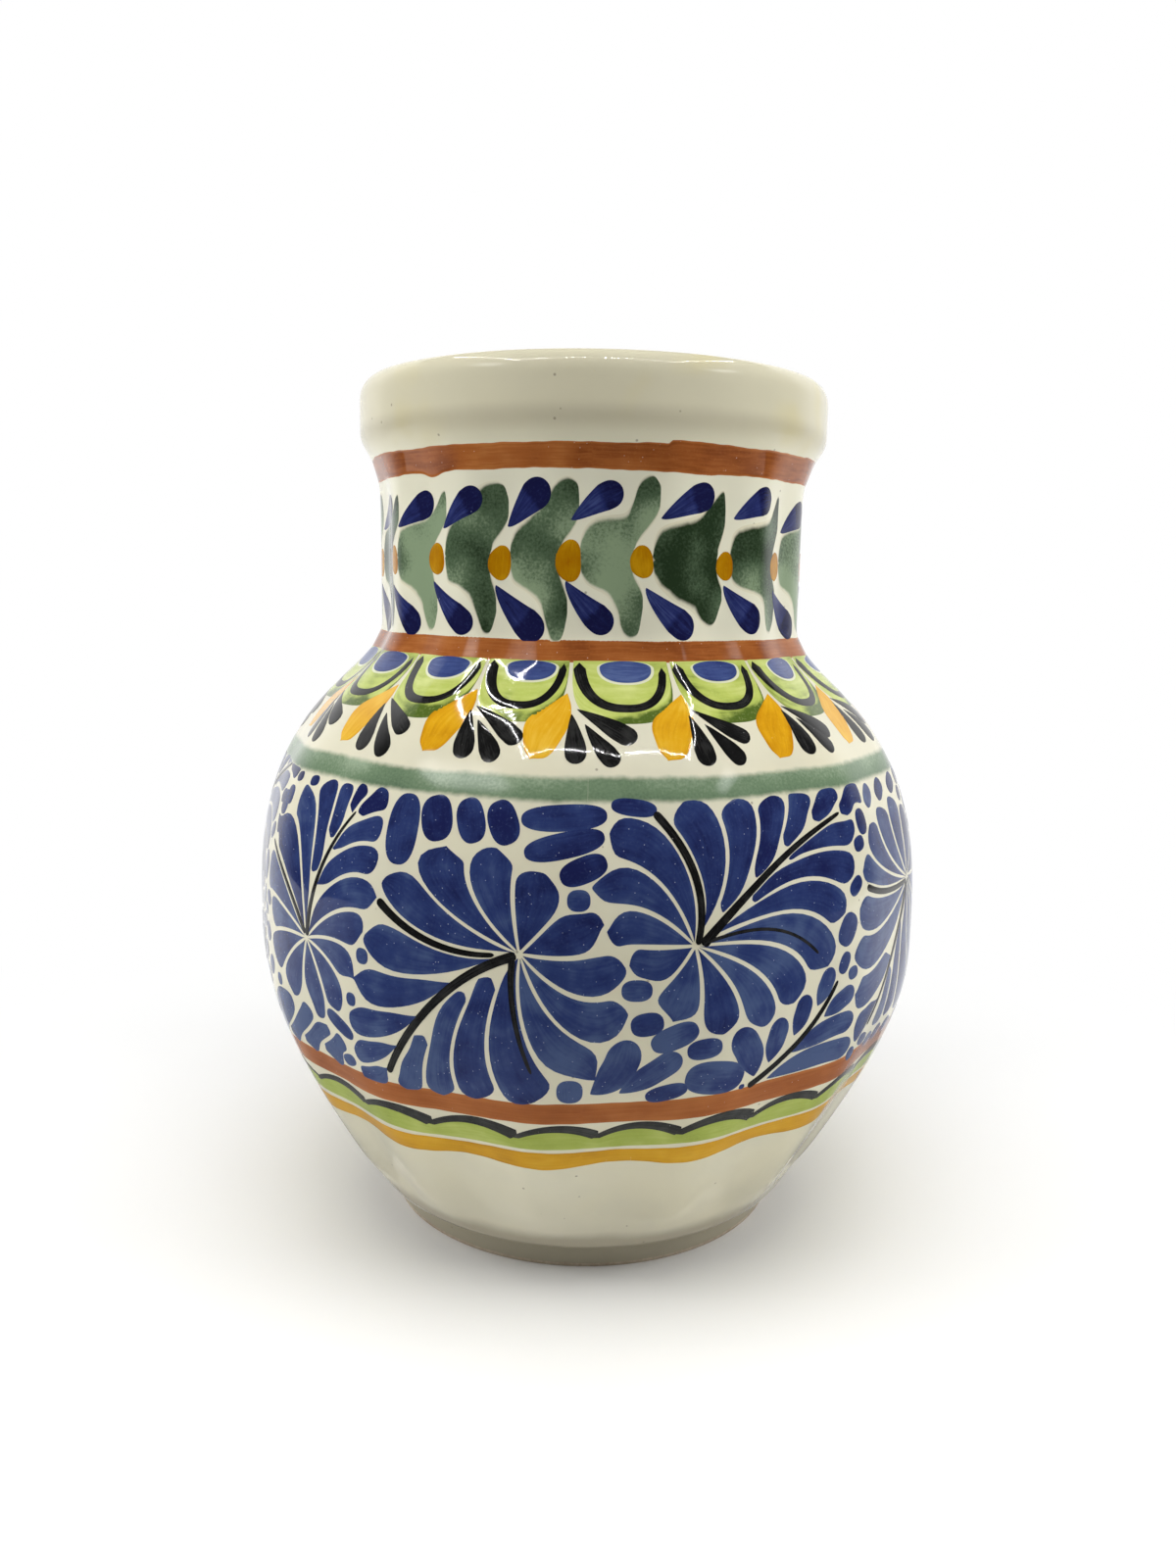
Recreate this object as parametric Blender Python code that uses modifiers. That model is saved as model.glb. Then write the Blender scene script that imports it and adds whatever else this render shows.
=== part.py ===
# Ribbed ceramic vase, built from five clay sections that are luted together with slip.
# Each section is turned from its profile. Soft ribs then run through the outer wall,
# from the foot to the collar. The origin is the centre of the foot's underside, +Z is up.

import math

import bpy

# Foot ring
FOOT_RADIUS = 0.0609
FOOT_HEIGHT = 0.0090
FOOT_LEAN = 0.0004
FOOT_RING_WIDTH = 0.0105
FOOT_RECESS = 0.0040
FOOT_EDGE = 0.0012

# Lower bowl, from the foot to the widest line
FLANK_RADIUS = 0.0680
FLANK_STEP = 0.0020
LOWER_BOWL_HEIGHT = 0.0885
BELLY_RADIUS = 0.1004
FLOOR_THICKNESS = 0.0080
FLOOR_FILLET = 0.0120

# Upper bowl, from the widest line to the neck
UPPER_BOWL_HEIGHT = 0.0825

# Neck and collar
NECK_RADIUS = 0.0627
NECK_HEIGHT = 0.0305
FLARE_HEIGHT = 0.0225
COLLAR_RADIUS = 0.0691
COLLAR_HEIGHT = 0.0149
COLLAR_WALL = 0.0080
LIP_HEIGHT = 0.0059

# Walls and luted seams
WALL = 0.0065
SEAM_LAP = 0.0040
SLIP_GAP = 0.0003

# Ribs
RIB_COUNT = 14
RIB_TURN = math.radians(5.86)
FLANK_RIB_LEVEL = 0.0150
FLANK_RIB_DEPTH = 0.0013
BELLY_RIB_DEPTH = 0.0004
NECK_RIB_DEPTH = 0.0008

# Shape factors of the curves, as shares of the height of their section
FLANK_PULL = 0.77
FLANK_LEAN = math.radians(31)
BELLY_PULL_DOWN = 0.23
BELLY_PULL_UP = 0.755
SHOULDER_PULL = 0.22
FLARE_PULL_IN = 0.74
FLARE_PULL_OUT = 0.23

# Facets
STEPS_PER_RIB = 6
OUTSIDE_POINTS = 9
INSIDE_POINTS = 5
FLARE_POINTS = 6
LIP_POINTS = 4
FLOOR_POINTS = 3
STEP_POINTS = 3
ON_WALL = 1e-6

# Levels, from the sizes above
FOOT_TOP = FOOT_HEIGHT
BELLY_LEVEL = FOOT_TOP + LOWER_BOWL_HEIGHT
NECK_LEVEL = BELLY_LEVEL + UPPER_BOWL_HEIGHT
FLARE_LEVEL = NECK_LEVEL + NECK_HEIGHT
COLLAR_LEVEL = FLARE_LEVEL + FLARE_HEIGHT
RIM_LEVEL = COLLAR_LEVEL + COLLAR_HEIGHT
FLOOR_LEVEL = FOOT_RECESS + FLOOR_THICKNESS
FOOT_TOP_RADIUS = FOOT_RADIUS + FOOT_LEAN
FOOT_BORE = FOOT_RADIUS - FOOT_RING_WIDTH


def bezier(start, pull_start, pull_end, end, count):
    """Points of a cubic curve in the (radius, height) plane, both ends included."""
    points = []
    for index in range(count + 1):
        t = index / count
        s = 1 - t
        weights = (s**3, 3 * s * s * t, 3 * s * t * t, t**3)
        corners = (start, pull_start, pull_end, end)
        points.append(tuple(sum(w * c[axis] for w, c in zip(weights, corners)) for axis in (0, 1)))
    return points


def quarter_lip(centre_radius, side_radius, height, count):
    """Quarter of the rounded lip, from its crest down to the side of the collar."""
    width = side_radius - centre_radius
    quarter = math.pi / 2
    return [
        (
            centre_radius + width * math.sin(quarter * index / count),
            height - LIP_HEIGHT * (1 - math.cos(quarter * index / count)),
        )
        for index in range(count + 1)
    ]


def inset(points, depth):
    """Moves a wall's points inwards, square to the wall."""
    moved = []
    last = len(points) - 1
    for index, (radius, height) in enumerate(points):
        before = points[max(index - 1, 0)]
        after = points[min(index + 1, last)]
        along = (after[0] - before[0], after[1] - before[1])
        length = math.hypot(*along)
        moved.append((radius + depth * along[1] / length, height - depth * along[0] / length))
    return moved


def flare(collar_radius, neck_radius):
    """Curve under the collar, from the collar's lower edge in to the neck."""
    return bezier(
        (collar_radius, COLLAR_LEVEL),
        (collar_radius, COLLAR_LEVEL - FLARE_HEIGHT * FLARE_PULL_OUT),
        (neck_radius, FLARE_LEVEL + FLARE_HEIGHT * FLARE_PULL_IN),
        (neck_radius, FLARE_LEVEL),
        FLARE_POINTS,
    )


def shoulder(count):
    """Curve from the foot of the neck out to the widest line."""
    return bezier(
        (NECK_RADIUS, NECK_LEVEL),
        (NECK_RADIUS, NECK_LEVEL - UPPER_BOWL_HEIGHT * SHOULDER_PULL),
        (BELLY_RADIUS, BELLY_LEVEL + UPPER_BOWL_HEIGHT * BELLY_PULL_UP),
        (BELLY_RADIUS, BELLY_LEVEL),
        count,
    )


def flank(count):
    """Curve from the widest line down to the step above the foot ring."""
    pull = LOWER_BOWL_HEIGHT * FLANK_PULL
    foot_of_flank = (FLANK_RADIUS, FOOT_TOP + FLANK_STEP)
    return bezier(
        (BELLY_RADIUS, BELLY_LEVEL),
        (BELLY_RADIUS, BELLY_LEVEL - LOWER_BOWL_HEIGHT * BELLY_PULL_DOWN),
        (
            foot_of_flank[0] + pull * math.sin(FLANK_LEAN),
            foot_of_flank[1] + pull * math.cos(FLANK_LEAN),
        ),
        foot_of_flank,
        count,
    )


def outer_wall():
    """Outside of the vase, from the crest of the lip down to the step above the foot."""
    crest = COLLAR_RADIUS - COLLAR_WALL / 2
    wall = quarter_lip(crest, COLLAR_RADIUS, RIM_LEVEL, LIP_POINTS)
    wall += flare(COLLAR_RADIUS, NECK_RADIUS)
    wall += shoulder(OUTSIDE_POINTS)
    wall += flank(OUTSIDE_POINTS)[1:]
    return wall


def inner_wall():
    """Inside of the vase, from the crest of the lip down to the edge of the floor."""
    crest = COLLAR_RADIUS - COLLAR_WALL / 2
    bore = COLLAR_RADIUS - COLLAR_WALL
    wall = quarter_lip(crest, bore, RIM_LEVEL, LIP_POINTS)[1:]
    wall += flare(bore, NECK_RADIUS - WALL)
    belly = inset(shoulder(INSIDE_POINTS) + flank(INSIDE_POINTS)[1:], WALL)
    fillet_top = FLOOR_LEVEL + FLOOR_FILLET
    wall += [point for point in belly if point[1] > fillet_top]
    start = (radius_at(belly, fillet_top), fillet_top)
    corner = (start[0] - FLOOR_FILLET * math.tan(FLANK_LEAN), FLOOR_LEVEL)
    edge = (corner[0] - FLOOR_FILLET, FLOOR_LEVEL)
    wall += bezier(start, corner, corner, edge, FLOOR_POINTS)
    return wall


def radius_at(wall, height):
    """Radius of a wall at one height, on the straight line between its points."""
    for upper, lower in zip(wall, wall[1:]):
        if upper[1] >= height >= lower[1] and upper[1] > lower[1]:
            share = (upper[1] - height) / (upper[1] - lower[1])
            return upper[0] + share * (lower[0] - upper[0])
    return wall[-1][0]


def stretch(wall, top, bottom):
    """Points of a wall between two heights, from top to bottom, both ends included."""
    inside = [point for point in wall if bottom + SLIP_GAP < point[1] < top - SLIP_GAP]
    return [(radius_at(wall, top), top)] + inside + [(radius_at(wall, bottom), bottom)]


def seam_radius(level):
    """Radius where a seam's lap divides the wall."""
    return (radius_at(OUTER, level) + radius_at(INNER, level)) / 2


def tongue(level):
    """Upper end of a section: the inner half of its wall stands up as a lap."""
    lap = seam_radius(level)
    return [(lap, level + SEAM_LAP), (lap, level)]


def rebate(level):
    """Lower end of a section: cut away inside, to sit over the lap of the one below."""
    lap = seam_radius(level) + SLIP_GAP
    return [(lap, level + SLIP_GAP), (lap, level + SEAM_LAP + SLIP_GAP)]


def ring_profile(bottom, top):
    """Closed profile of a section between two seams."""
    outside = stretch(OUTER, top, bottom + SLIP_GAP)
    inside = stretch(INNER, top + SEAM_LAP, bottom + SEAM_LAP + SLIP_GAP)
    return outside + rebate(bottom) + inside[::-1] + tongue(top)


def foot_profile():
    """Closed profile of the foot ring, with its edges eased where it meets the table."""
    return [
        (FOOT_TOP_RADIUS, FOOT_TOP),
        (FOOT_RADIUS, FOOT_EDGE),
        (FOOT_RADIUS - FOOT_EDGE, 0.0),
        (FOOT_BORE + FOOT_EDGE, 0.0),
        (FOOT_BORE, FOOT_EDGE),
        (FOOT_BORE, FOOT_TOP),
    ]


def lower_bowl_profile():
    """Open profile of the lower bowl: floor, inside, lap, outside and the boss in the foot ring."""
    boss = FOOT_BORE - SLIP_GAP
    seat = FOOT_TOP + SLIP_GAP
    inside = stretch(INNER, BELLY_LEVEL + SEAM_LAP, FLOOR_LEVEL)
    outside = [(radius_at(OUTER, BELLY_LEVEL), BELLY_LEVEL)]
    outside += [point for point in OUTER if point[1] < BELLY_LEVEL - SLIP_GAP]
    corner = (FLANK_RADIUS - FLANK_STEP * math.tan(FLANK_LEAN), seat)
    step = bezier(OUTER[-1], corner, corner, (FOOT_TOP_RADIUS, seat), STEP_POINTS)[1:]
    underside = [(boss, seat), (boss, FOOT_RECESS), (0.0, FOOT_RECESS)]
    return [(0.0, FLOOR_LEVEL)] + inside[::-1] + tongue(BELLY_LEVEL) + outside + step + underside


def rim_collar_profile():
    """Closed profile of the collar, over the lip from the outside to the inside."""
    outside = [point for point in OUTER if point[1] > FLARE_LEVEL + SLIP_GAP]
    outside += [(radius_at(OUTER, FLARE_LEVEL + SLIP_GAP), FLARE_LEVEL + SLIP_GAP)]
    foot_of_inside = FLARE_LEVEL + SEAM_LAP + SLIP_GAP
    inside = [point for point in INNER if point[1] > foot_of_inside + SLIP_GAP]
    inside += [(radius_at(INNER, foot_of_inside), foot_of_inside)]
    return outside + rebate(FLARE_LEVEL) + inside[::-1]


def rib_depth(height):
    """Half height of the ribs: none at the foot and the collar, eased between the levels."""
    stations = (
        (FOOT_TOP, 0.0),
        (FOOT_TOP + FLANK_RIB_LEVEL, FLANK_RIB_DEPTH),
        (BELLY_LEVEL, BELLY_RIB_DEPTH),
        (NECK_LEVEL, NECK_RIB_DEPTH),
        (FLARE_LEVEL, NECK_RIB_DEPTH),
        (COLLAR_LEVEL, 0.0),
    )
    for (low, low_depth), (high, high_depth) in zip(stations, stations[1:]):
        if low <= height <= high:
            share = (1 - math.cos(math.pi * (height - low) / (high - low))) / 2
            return low_depth + share * (high_depth - low_depth)
    return 0.0


def press_ribs(mesh):
    """Moves each point of the outer wall along its radius, by a cosine round the vase."""
    for vertex in mesh.vertices:
        x, y, height = vertex.co
        radius = math.hypot(x, y)
        if abs(radius - radius_at(OUTER, height)) > ON_WALL:
            continue
        wave = math.cos(RIB_COUNT * math.atan2(y, x))
        scale = 1 + rib_depth(height) * wave / radius
        vertex.co.x = x * scale
        vertex.co.y = y * scale


def clay(name, colour, roughness):
    """Material of one section."""
    material = bpy.data.materials.new(name)
    material.use_nodes = True
    shader = material.node_tree.nodes["Principled BSDF"]
    shader.inputs["Base Color"].default_value = (*colour, 1.0)
    shader.inputs["Roughness"].default_value = roughness
    shader.inputs["Metallic"].default_value = 0.0
    return material


def turned(name, profile, closed, material, collection):
    """Turns a profile about Z into one solid section."""
    edges = [(index, index + 1) for index in range(len(profile) - 1)]
    if closed:
        edges.append((len(profile) - 1, 0))
    outline = bpy.data.meshes.new(name + "_profile")
    outline.from_pydata([(radius, 0.0, height) for radius, height in profile], edges, [])
    section = bpy.data.objects.new(name, outline)
    collection.objects.link(section)
    screw = section.modifiers.new("turn", "SCREW")
    screw.steps = RIB_COUNT * STEPS_PER_RIB
    screw.render_steps = screw.steps
    screw.use_merge_vertices = True
    screw.merge_threshold = 0.00001
    bpy.context.view_layer.update()
    depsgraph = bpy.context.evaluated_depsgraph_get()
    solid = bpy.data.meshes.new_from_object(section.evaluated_get(depsgraph))
    section.modifiers.clear()
    section.data = solid
    solid.name = name
    bpy.data.meshes.remove(outline)
    press_ribs(solid)
    solid.materials.clear()
    solid.materials.append(material)
    solid.shade_smooth()
    solid.set_sharp_from_angle(angle=math.radians(40))
    section.rotation_euler.z = RIB_TURN
    return section


OUTER = outer_wall()
INNER = inner_wall()


def main():
    for old in list(bpy.data.objects):
        bpy.data.objects.remove(old, do_unlink=True)
    vase = bpy.data.collections.new("ribbed_vase")
    bpy.context.scene.collection.children.link(vase)
    bare = clay("bare_foot", (0.55, 0.49, 0.38), 0.75)
    flank_glaze = clay("flank_glaze", (0.73, 0.70, 0.60), 0.18)
    belly_glaze = clay("belly_glaze", (0.76, 0.73, 0.64), 0.14)
    neck_glaze = clay("neck_glaze", (0.76, 0.74, 0.64), 0.16)
    collar_glaze = clay("collar_glaze", (0.77, 0.75, 0.65), 0.15)
    turned("foot_ring", foot_profile(), True, bare, vase)
    turned("lower_bowl", lower_bowl_profile(), False, flank_glaze, vase)
    turned("upper_bowl", ring_profile(BELLY_LEVEL, NECK_LEVEL), True, belly_glaze, vase)
    turned("neck", ring_profile(NECK_LEVEL, FLARE_LEVEL), True, neck_glaze, vase)
    turned("rim_collar", rim_collar_profile(), True, collar_glaze, vase)


main()
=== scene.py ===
import bpy
import numpy as np
from mathutils import Matrix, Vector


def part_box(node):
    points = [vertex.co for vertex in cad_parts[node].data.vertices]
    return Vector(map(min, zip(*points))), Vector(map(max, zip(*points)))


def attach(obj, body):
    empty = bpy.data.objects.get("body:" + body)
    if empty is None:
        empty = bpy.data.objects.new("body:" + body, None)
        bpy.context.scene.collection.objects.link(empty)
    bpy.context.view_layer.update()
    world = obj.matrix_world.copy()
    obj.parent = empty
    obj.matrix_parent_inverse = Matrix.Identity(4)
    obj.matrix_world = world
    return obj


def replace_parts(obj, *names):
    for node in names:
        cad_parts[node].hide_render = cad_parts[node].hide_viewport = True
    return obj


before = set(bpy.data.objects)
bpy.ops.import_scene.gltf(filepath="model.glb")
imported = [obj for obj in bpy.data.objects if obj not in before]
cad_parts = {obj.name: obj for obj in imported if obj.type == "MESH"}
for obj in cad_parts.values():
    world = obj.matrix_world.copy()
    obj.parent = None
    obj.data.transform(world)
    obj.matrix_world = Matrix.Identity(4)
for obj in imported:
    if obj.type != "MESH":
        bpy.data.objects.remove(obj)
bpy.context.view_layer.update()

mm = 0.001
deg = np.pi / 180
fullTurn = 2 * np.pi
print("frame loaded with", len(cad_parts), "clay sections")

# The turned wall, in millimetres, on the levels of the frame
wall = dict(
    footRadius=60.9, footLean=0.4, footEdge=1.2, footRingWidth=10.5, footRecess=4.0,
    flankRadius=68.0, flankStep=2.0, flankPull=0.77, flankLean=31 * deg, bellyPull=0.23,
    bellyRadius=100.4, neckRadius=62.7, collarRadius=69.1, collarWall=8.0, lipHeight=5.9, flareHeight=22.5,
    shoulderPulls=(0.22, 0.755), flarePulls=(0.23, 0.74),  # at the upper and the lower end
    thickness=6.5, floorThickness=8.0, floorFillet=12.0, slipGap=0.3,
    neckRun=74.3,  # run at the foot of the neck, from which all places on the wall are counted
    outerPoints=dict(lip=30, flare=60, bowl=200, corner=20),
    innerPoints=dict(lip=14, flare=24, bowl=120, corner=16),
)
ribs = dict(count=14, ridgeAt=95.86 * deg, flankLevel=15.0, flankDepth=1.3, bellyDepth=0.4, neckDepth=0.8)


def levelOf(node, end):  # height of a node's lowest (0) or highest (1) point
    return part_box(node)[end].z / mm


footTop = levelOf("foot_ring", 1)
bellyLevel = levelOf("upper_bowl", 0) - wall["slipGap"]
neckLevel = levelOf("neck", 0) - wall["slipGap"]
flareLevel = levelOf("rim_collar", 0) - wall["slipGap"]
rimLevel = levelOf("rim_collar", 1)
collarLevel = flareLevel + wall["flareHeight"]
floorLevel = wall["footRecess"] + wall["floorThickness"]
lipRadius = wall["collarWall"] / 2
crestRadius = wall["collarRadius"] - lipRadius
footTopRadius = wall["footRadius"] + wall["footLean"]


def cubic(start, pullStart, pullEnd, end, count):
    # four corners weighted by s3, 3s2t, 3st2 and t3, with s = 1 - t
    t = np.linspace(0, 1, count)[:, None]
    corners = [np.array(corner, float) for corner in (start, pullStart, pullEnd, end)]
    weights = ((1 - t) ** 3, 3 * t * (1 - t) ** 2, 3 * t * t * (1 - t), t ** 3)
    return sum(weight * corner for weight, corner in zip(weights, corners))


def easedCorner(start, corner, end, count):  # cubic with both pulls at the corner
    return cubic(start, corner, corner, end, count)


def uprightCurve(topRadius, topLevel, lowRadius, lowLevel, pulls, count):
    # cubic that leaves one ring and meets the next upright, with pulls as shares of its height
    drop = topLevel - lowLevel
    return cubic((topRadius, topLevel), (topRadius, topLevel - drop * pulls[0]),
                 (lowRadius, lowLevel + drop * pulls[1]), (lowRadius, lowLevel), count)


def quarterLip(side, count):
    # quarter ellipse from the crest of the lip to its outer (side 1) or inner (side -1) face
    turn = np.linspace(0, np.pi / 2, count)
    radius = crestRadius + side * lipRadius * np.sin(turn)
    return np.stack([radius, rimLevel - wall["lipHeight"] * (1 - np.cos(turn))], 1)


def flareCurve(collarRadius, neckRadius, count):  # upright curve from the collar down to the neck
    return uprightCurve(collarRadius, collarLevel, neckRadius, flareLevel, wall["flarePulls"], count)


def shoulderCurve(count):  # upright curve from the neck down to the belly
    neck, belly = (wall["neckRadius"], neckLevel), (wall["bellyRadius"], bellyLevel)
    return uprightCurve(*neck, *belly, wall["shoulderPulls"], count)


def flankCurve(count):
    # cubic from the belly, upright there, to the foot, leaning there
    drop = bellyLevel - footTop
    foot = np.array([wall["flankRadius"], footTop + wall["flankStep"]])
    lean = np.array([np.sin(wall["flankLean"]), np.cos(wall["flankLean"])])
    return cubic(
        (wall["bellyRadius"], bellyLevel), (wall["bellyRadius"], bellyLevel - drop * wall["bellyPull"]),
        foot + drop * wall["flankPull"] * lean, foot, count)


def outerPath():
    # lip crest, collar, flare, neck, shoulder, flank, step and side of the foot, as (radius, height)
    points = wall["outerPoints"]
    stepCorner = (wall["flankRadius"] - wall["flankStep"] * np.tan(wall["flankLean"]), footTop)
    step = easedCorner(flankCurve(2)[-1], stepCorner, (footTopRadius, footTop), points["corner"])
    flare = flareCurve(wall["collarRadius"], wall["neckRadius"], points["flare"])
    return np.concatenate([
        quarterLip(1, points["lip"]), flare, shoulderCurve(points["bowl"]), flankCurve(points["bowl"])[1:],
        step[1:], [(wall["footRadius"], wall["footEdge"])]])


def innerPath():
    # lip crest, bore, inner flare, wall set in by its thickness, fillet and middle of the floor
    points = wall["innerPoints"]
    inner = np.concatenate([shoulderCurve(points["bowl"]), flankCurve(points["bowl"])[1:]])
    along = np.gradient(inner, axis=0)
    along /= np.linalg.norm(along, axis=1, keepdims=True)
    inner = inner + wall["thickness"] * np.stack([along[:, 1], -along[:, 0]], 1)
    filletTop = floorLevel + wall["floorFillet"]
    start = (np.interp(-filletTop, -inner[:, 1], inner[:, 0]), filletTop)
    corner = (start[0] - wall["floorFillet"] * np.tan(wall["flankLean"]), floorLevel)
    fillet = easedCorner(start, corner, (corner[0] - wall["floorFillet"], floorLevel), points["corner"])
    bore = flareCurve(
        wall["collarRadius"] - wall["collarWall"], wall["neckRadius"] - wall["thickness"], points["flare"])
    return np.concatenate([quarterLip(-1, points["lip"])[1:], bore, inner[inner[:, 1] > filletTop], fillet])


def smoothStep(value, low, high):  # 0 below low, 1 above high, 3t2 - 2t3 between
    share = np.clip((value - low) / (high - low), 0, 1)
    return share * share * (3 - 2 * share)


def runOf(path):  # length along a path, from its start
    return np.concatenate([[0], np.cumsum(np.linalg.norm(np.diff(path, axis=0), axis=1))])


outer = outerPath()
outerRun = runOf(outer)  # millimetres down the outside
outerRun += wall["neckRun"] - np.interp(-neckLevel, -outer[:, 1], outerRun)
tinySteps = np.arange(len(outer)) * 1e-9  # keep two points at one place apart
outerSlope = np.gradient(outer, outerRun + tinySteps, axis=0)


def ribDepth(height):
    # half height of the ribs: cosine ease between the stations, none at the foot and the collar
    levels = [footTop, footTop + ribs["flankLevel"], bellyLevel, neckLevel, flareLevel, collarLevel]
    depths = [0, ribs["flankDepth"], ribs["bellyDepth"], ribs["neckDepth"], ribs["neckDepth"], 0]
    share = np.interp(height, levels, np.arange(float(len(levels))))
    base = np.clip(np.floor(share).astype(int), 0, len(levels) - 2)
    ease = (1 - np.cos(np.pi * (share - base))) / 2
    return np.take(depths, base) * (1 - ease) + np.take(depths, base + 1) * ease


def ribWave(phi):  # cosine round the vase: 1 on a ridge, -1 between two
    return np.cos(ribs["count"] * (phi - ribs["ridgeAt"]))


def wallRadius(run):  # radius of the outside at a run, without the ribs
    return np.interp(run, outerRun, outer[:, 0])


def turned(phi, radius, height):  # point at an angle from the front, positive to the right
    return np.stack([radius * np.sin(phi), -radius * np.cos(phi), height], -1)


def onWall(phi, run, lift):
    # wall point at angle phi from the front and at a run below the lip: profile radius plus the rib
    # wave, then moved out by lift square to the profile
    height = np.interp(run, outerRun, outer[:, 1])
    radius = wallRadius(run) + ribDepth(height) * ribWave(phi)
    slope = [np.interp(run, outerRun, outerSlope[:, axis]) for axis in (0, 1)]
    return turned(phi, radius - lift * slope[1], height + lift * slope[0]) * mm


class Wire:
    # one output of a node; operators on it add Math nodes to its finish
    def __init__(self, finish, socket):
        self.finish = finish
        self.socket = socket

    def maths(self, operation, *values):
        return self.finish.node("ShaderNodeMath", dict(operation=operation), dict(enumerate(values)))

    def __add__(self, other):
        return self.maths("ADD", self, other)

    def __sub__(self, other):
        return self.maths("SUBTRACT", self, other)

    def __rsub__(self, other):
        return self.maths("SUBTRACT", other, self)

    def __mul__(self, other):
        return self.maths("MULTIPLY", self, other)

    def __gt__(self, other):
        return self.maths("GREATER_THAN", self, other)

    def larger(self, other):
        return self.maths("MAXIMUM", self, other)

    def size(self):
        return self.maths("ABSOLUTE", self)

    __radd__ = __add__
    __rmul__ = __mul__


class Finish:
    # the nodes of one material or world, all added by a single method
    white = (1, 1, 1, 1)

    def __init__(self, owner):
        self.material = bpy.data.materials.new(owner) if isinstance(owner, str) else owner
        self.material.use_nodes = True
        self.tree = self.material.node_tree
        self.shader = self.tree.nodes.get("Principled BSDF")

    def node(self, kind, settings=None, sockets=None, out=0):
        made = self.tree.nodes.new(kind)
        for key, value in (settings or {}).items():
            setattr(made, key, value)
        self.feed(made, sockets or {})
        return Wire(self, made.outputs[out])

    def feed(self, node, sockets):
        for key, value in sockets.items():
            if isinstance(value, Wire):
                self.tree.links.new(value.socket, node.inputs[key])
            else:
                node.inputs[key].default_value = value

    def place(self):
        return self.node("ShaderNodeTexCoord", out="Object")

    def attribute(self, name):
        return self.node("ShaderNodeAttribute", dict(attribute_name=name), out="Fac")

    def noise(self, where, scale, detail=2.0):
        return self.node("ShaderNodeTexNoise", None, {"Vector": where, "Scale": scale, "Detail": detail})

    def cells(self, where, scale, out):
        return self.node("ShaderNodeTexVoronoi", None, {"Vector": where, "Scale": scale}, out)

    def ease(self, value, low, high):  # 0 below low, 1 above high, smooth between
        settings = dict(interpolation_type="SMOOTHSTEP")
        return self.node("ShaderNodeMapRange", settings, {"Value": value, "From Min": low, "From Max": high})

    def zone(self, run, rise, fall):  # 1 between two runs, with a smooth start and end
        return self.ease(run, *rise) * (1 - self.ease(run, *fall))

    def patches(self, where, scale, detail, between):  # soft patches where a noise is high
        return self.ease(self.noise(where, scale, detail), *between)

    def mix(self, share, first, second):
        tones = [tone if isinstance(tone, Wire) else (*tone, 1.0) for tone in (first, second)]
        return self.node("ShaderNodeMix", dict(data_type="RGBA"), {0: share, 6: tones[0], 7: tones[1]}, 2)

    def specks(self, where, scale, radius, kept, core=0.6):
        # round dots in a share of the cells of a grid of random points
        near = 1 - self.ease(self.cells(where, scale, "Distance"), radius * core, radius)
        pick = self.node("ShaderNodeSeparateColor", None, {0: self.cells(where, scale, "Color")})
        return near * (pick > 1 - kept)

    def bump(self, height, strength, distance):
        sockets = {"Height": height, "Strength": strength, "Distance": distance}
        return self.node("ShaderNodeBump", None, sockets)

    def light(self, strength):
        return self.node("ShaderNodeEmission", None, {"Color": self.white, "Strength": strength})

    def show(self, surface):
        self.feed(self.tree.nodes["Material Output"], {"Surface": surface})


creamLook = dict(
    pale=(0.750, 0.718, 0.560), warm=(0.700, 0.655, 0.470), grey=(0.650, 0.630, 0.500),
    collar=(0.580, 0.540, 0.385), stain=(0.640, 0.570, 0.300), speck=(0.160, 0.125, 0.085),
    # neck is a painted light tint; foot is the painted shade tint of the collar's edge, lower flank and foot
    neck=(0.820, 0.805, 0.650), foot=(0.350, 0.312, 0.230),
    clouds=(16.0, 3.0, (0.35, 0.68)), haze=(46.0, 2.0, (0.42, 0.72)), stains=(36.0, 2.0, (0.55, 0.70)),
    # runs where a tint comes in and goes out; the neck zone is painted light
    collarZone=((-30.0, 6.0), (22.0, 34.0)), neckLightZone=((21.0, 32.0), (70.0, 90.0)),
    # painted shade: a dark line under the collar's edge, and darker towards the floor on the lower flank and
    # foot
    collarEdgeShade=((17.0, 20.5), (20.5, 26.0)), lowFlankShade=(226.0, 260.0), footShade=(257.0, 263.0),
    # scale and reach of the wobble on the upper edge of the foot's painted shade
    footShadeScale=70.0, footShadeReach=4.0,
    dots=(160.0, 0.070, 0.80), pits=(330.0, 0.075, 0.10),  # scale, radius and share of the cells
    cloudCover=0.6, hazeCover=0.45,
    # tints from the lowest up: where, how strong and which colour
    # the neck tint is painted light; the edge, flank and foot tints are painted shade
    tints=[
        ("collar", 0.6, "collar"), ("neck", 0.7, "neck"), ("stains", 0.50, "stain"), ("edge", 0.30, "foot"),
        ("flank", 0.24, "foot"), ("foot", 0.84, "foot"), ("dots", 0.55, "speck"), ("pits", 0.35, "stain")],
)
shine = dict(ior=1.45, rough=0.035, roughSpread=0.04, roughScale=60.0, rippleScale=120.0, rippleShare=0.7,
             ripple=(0.10, 0.0005))


def creamColour(finish, where):
    # pale glaze with broad warm and grey clouds
    look = creamLook
    clouds = finish.patches(where, *look["clouds"]) * look["cloudCover"]
    haze = finish.patches(where, *look["haze"]) * look["hazeCover"]
    return finish.mix(haze, finish.mix(clouds, look["pale"], look["warm"]), look["grey"])


def glazeShine(finish, where, fine):
    # glossy fired glaze, with a faint ripple over the surface
    share = shine["rippleShare"]
    ripple = finish.noise(where, shine["rippleScale"]) * share + fine * (1 - share)
    finish.feed(finish.shader, {
        "Roughness": finish.noise(where, shine["roughScale"]) * shine["roughSpread"] + shine["rough"],
        "Normal": finish.bump(ripple, *shine["ripple"]), "IOR": shine["ior"]})


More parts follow.
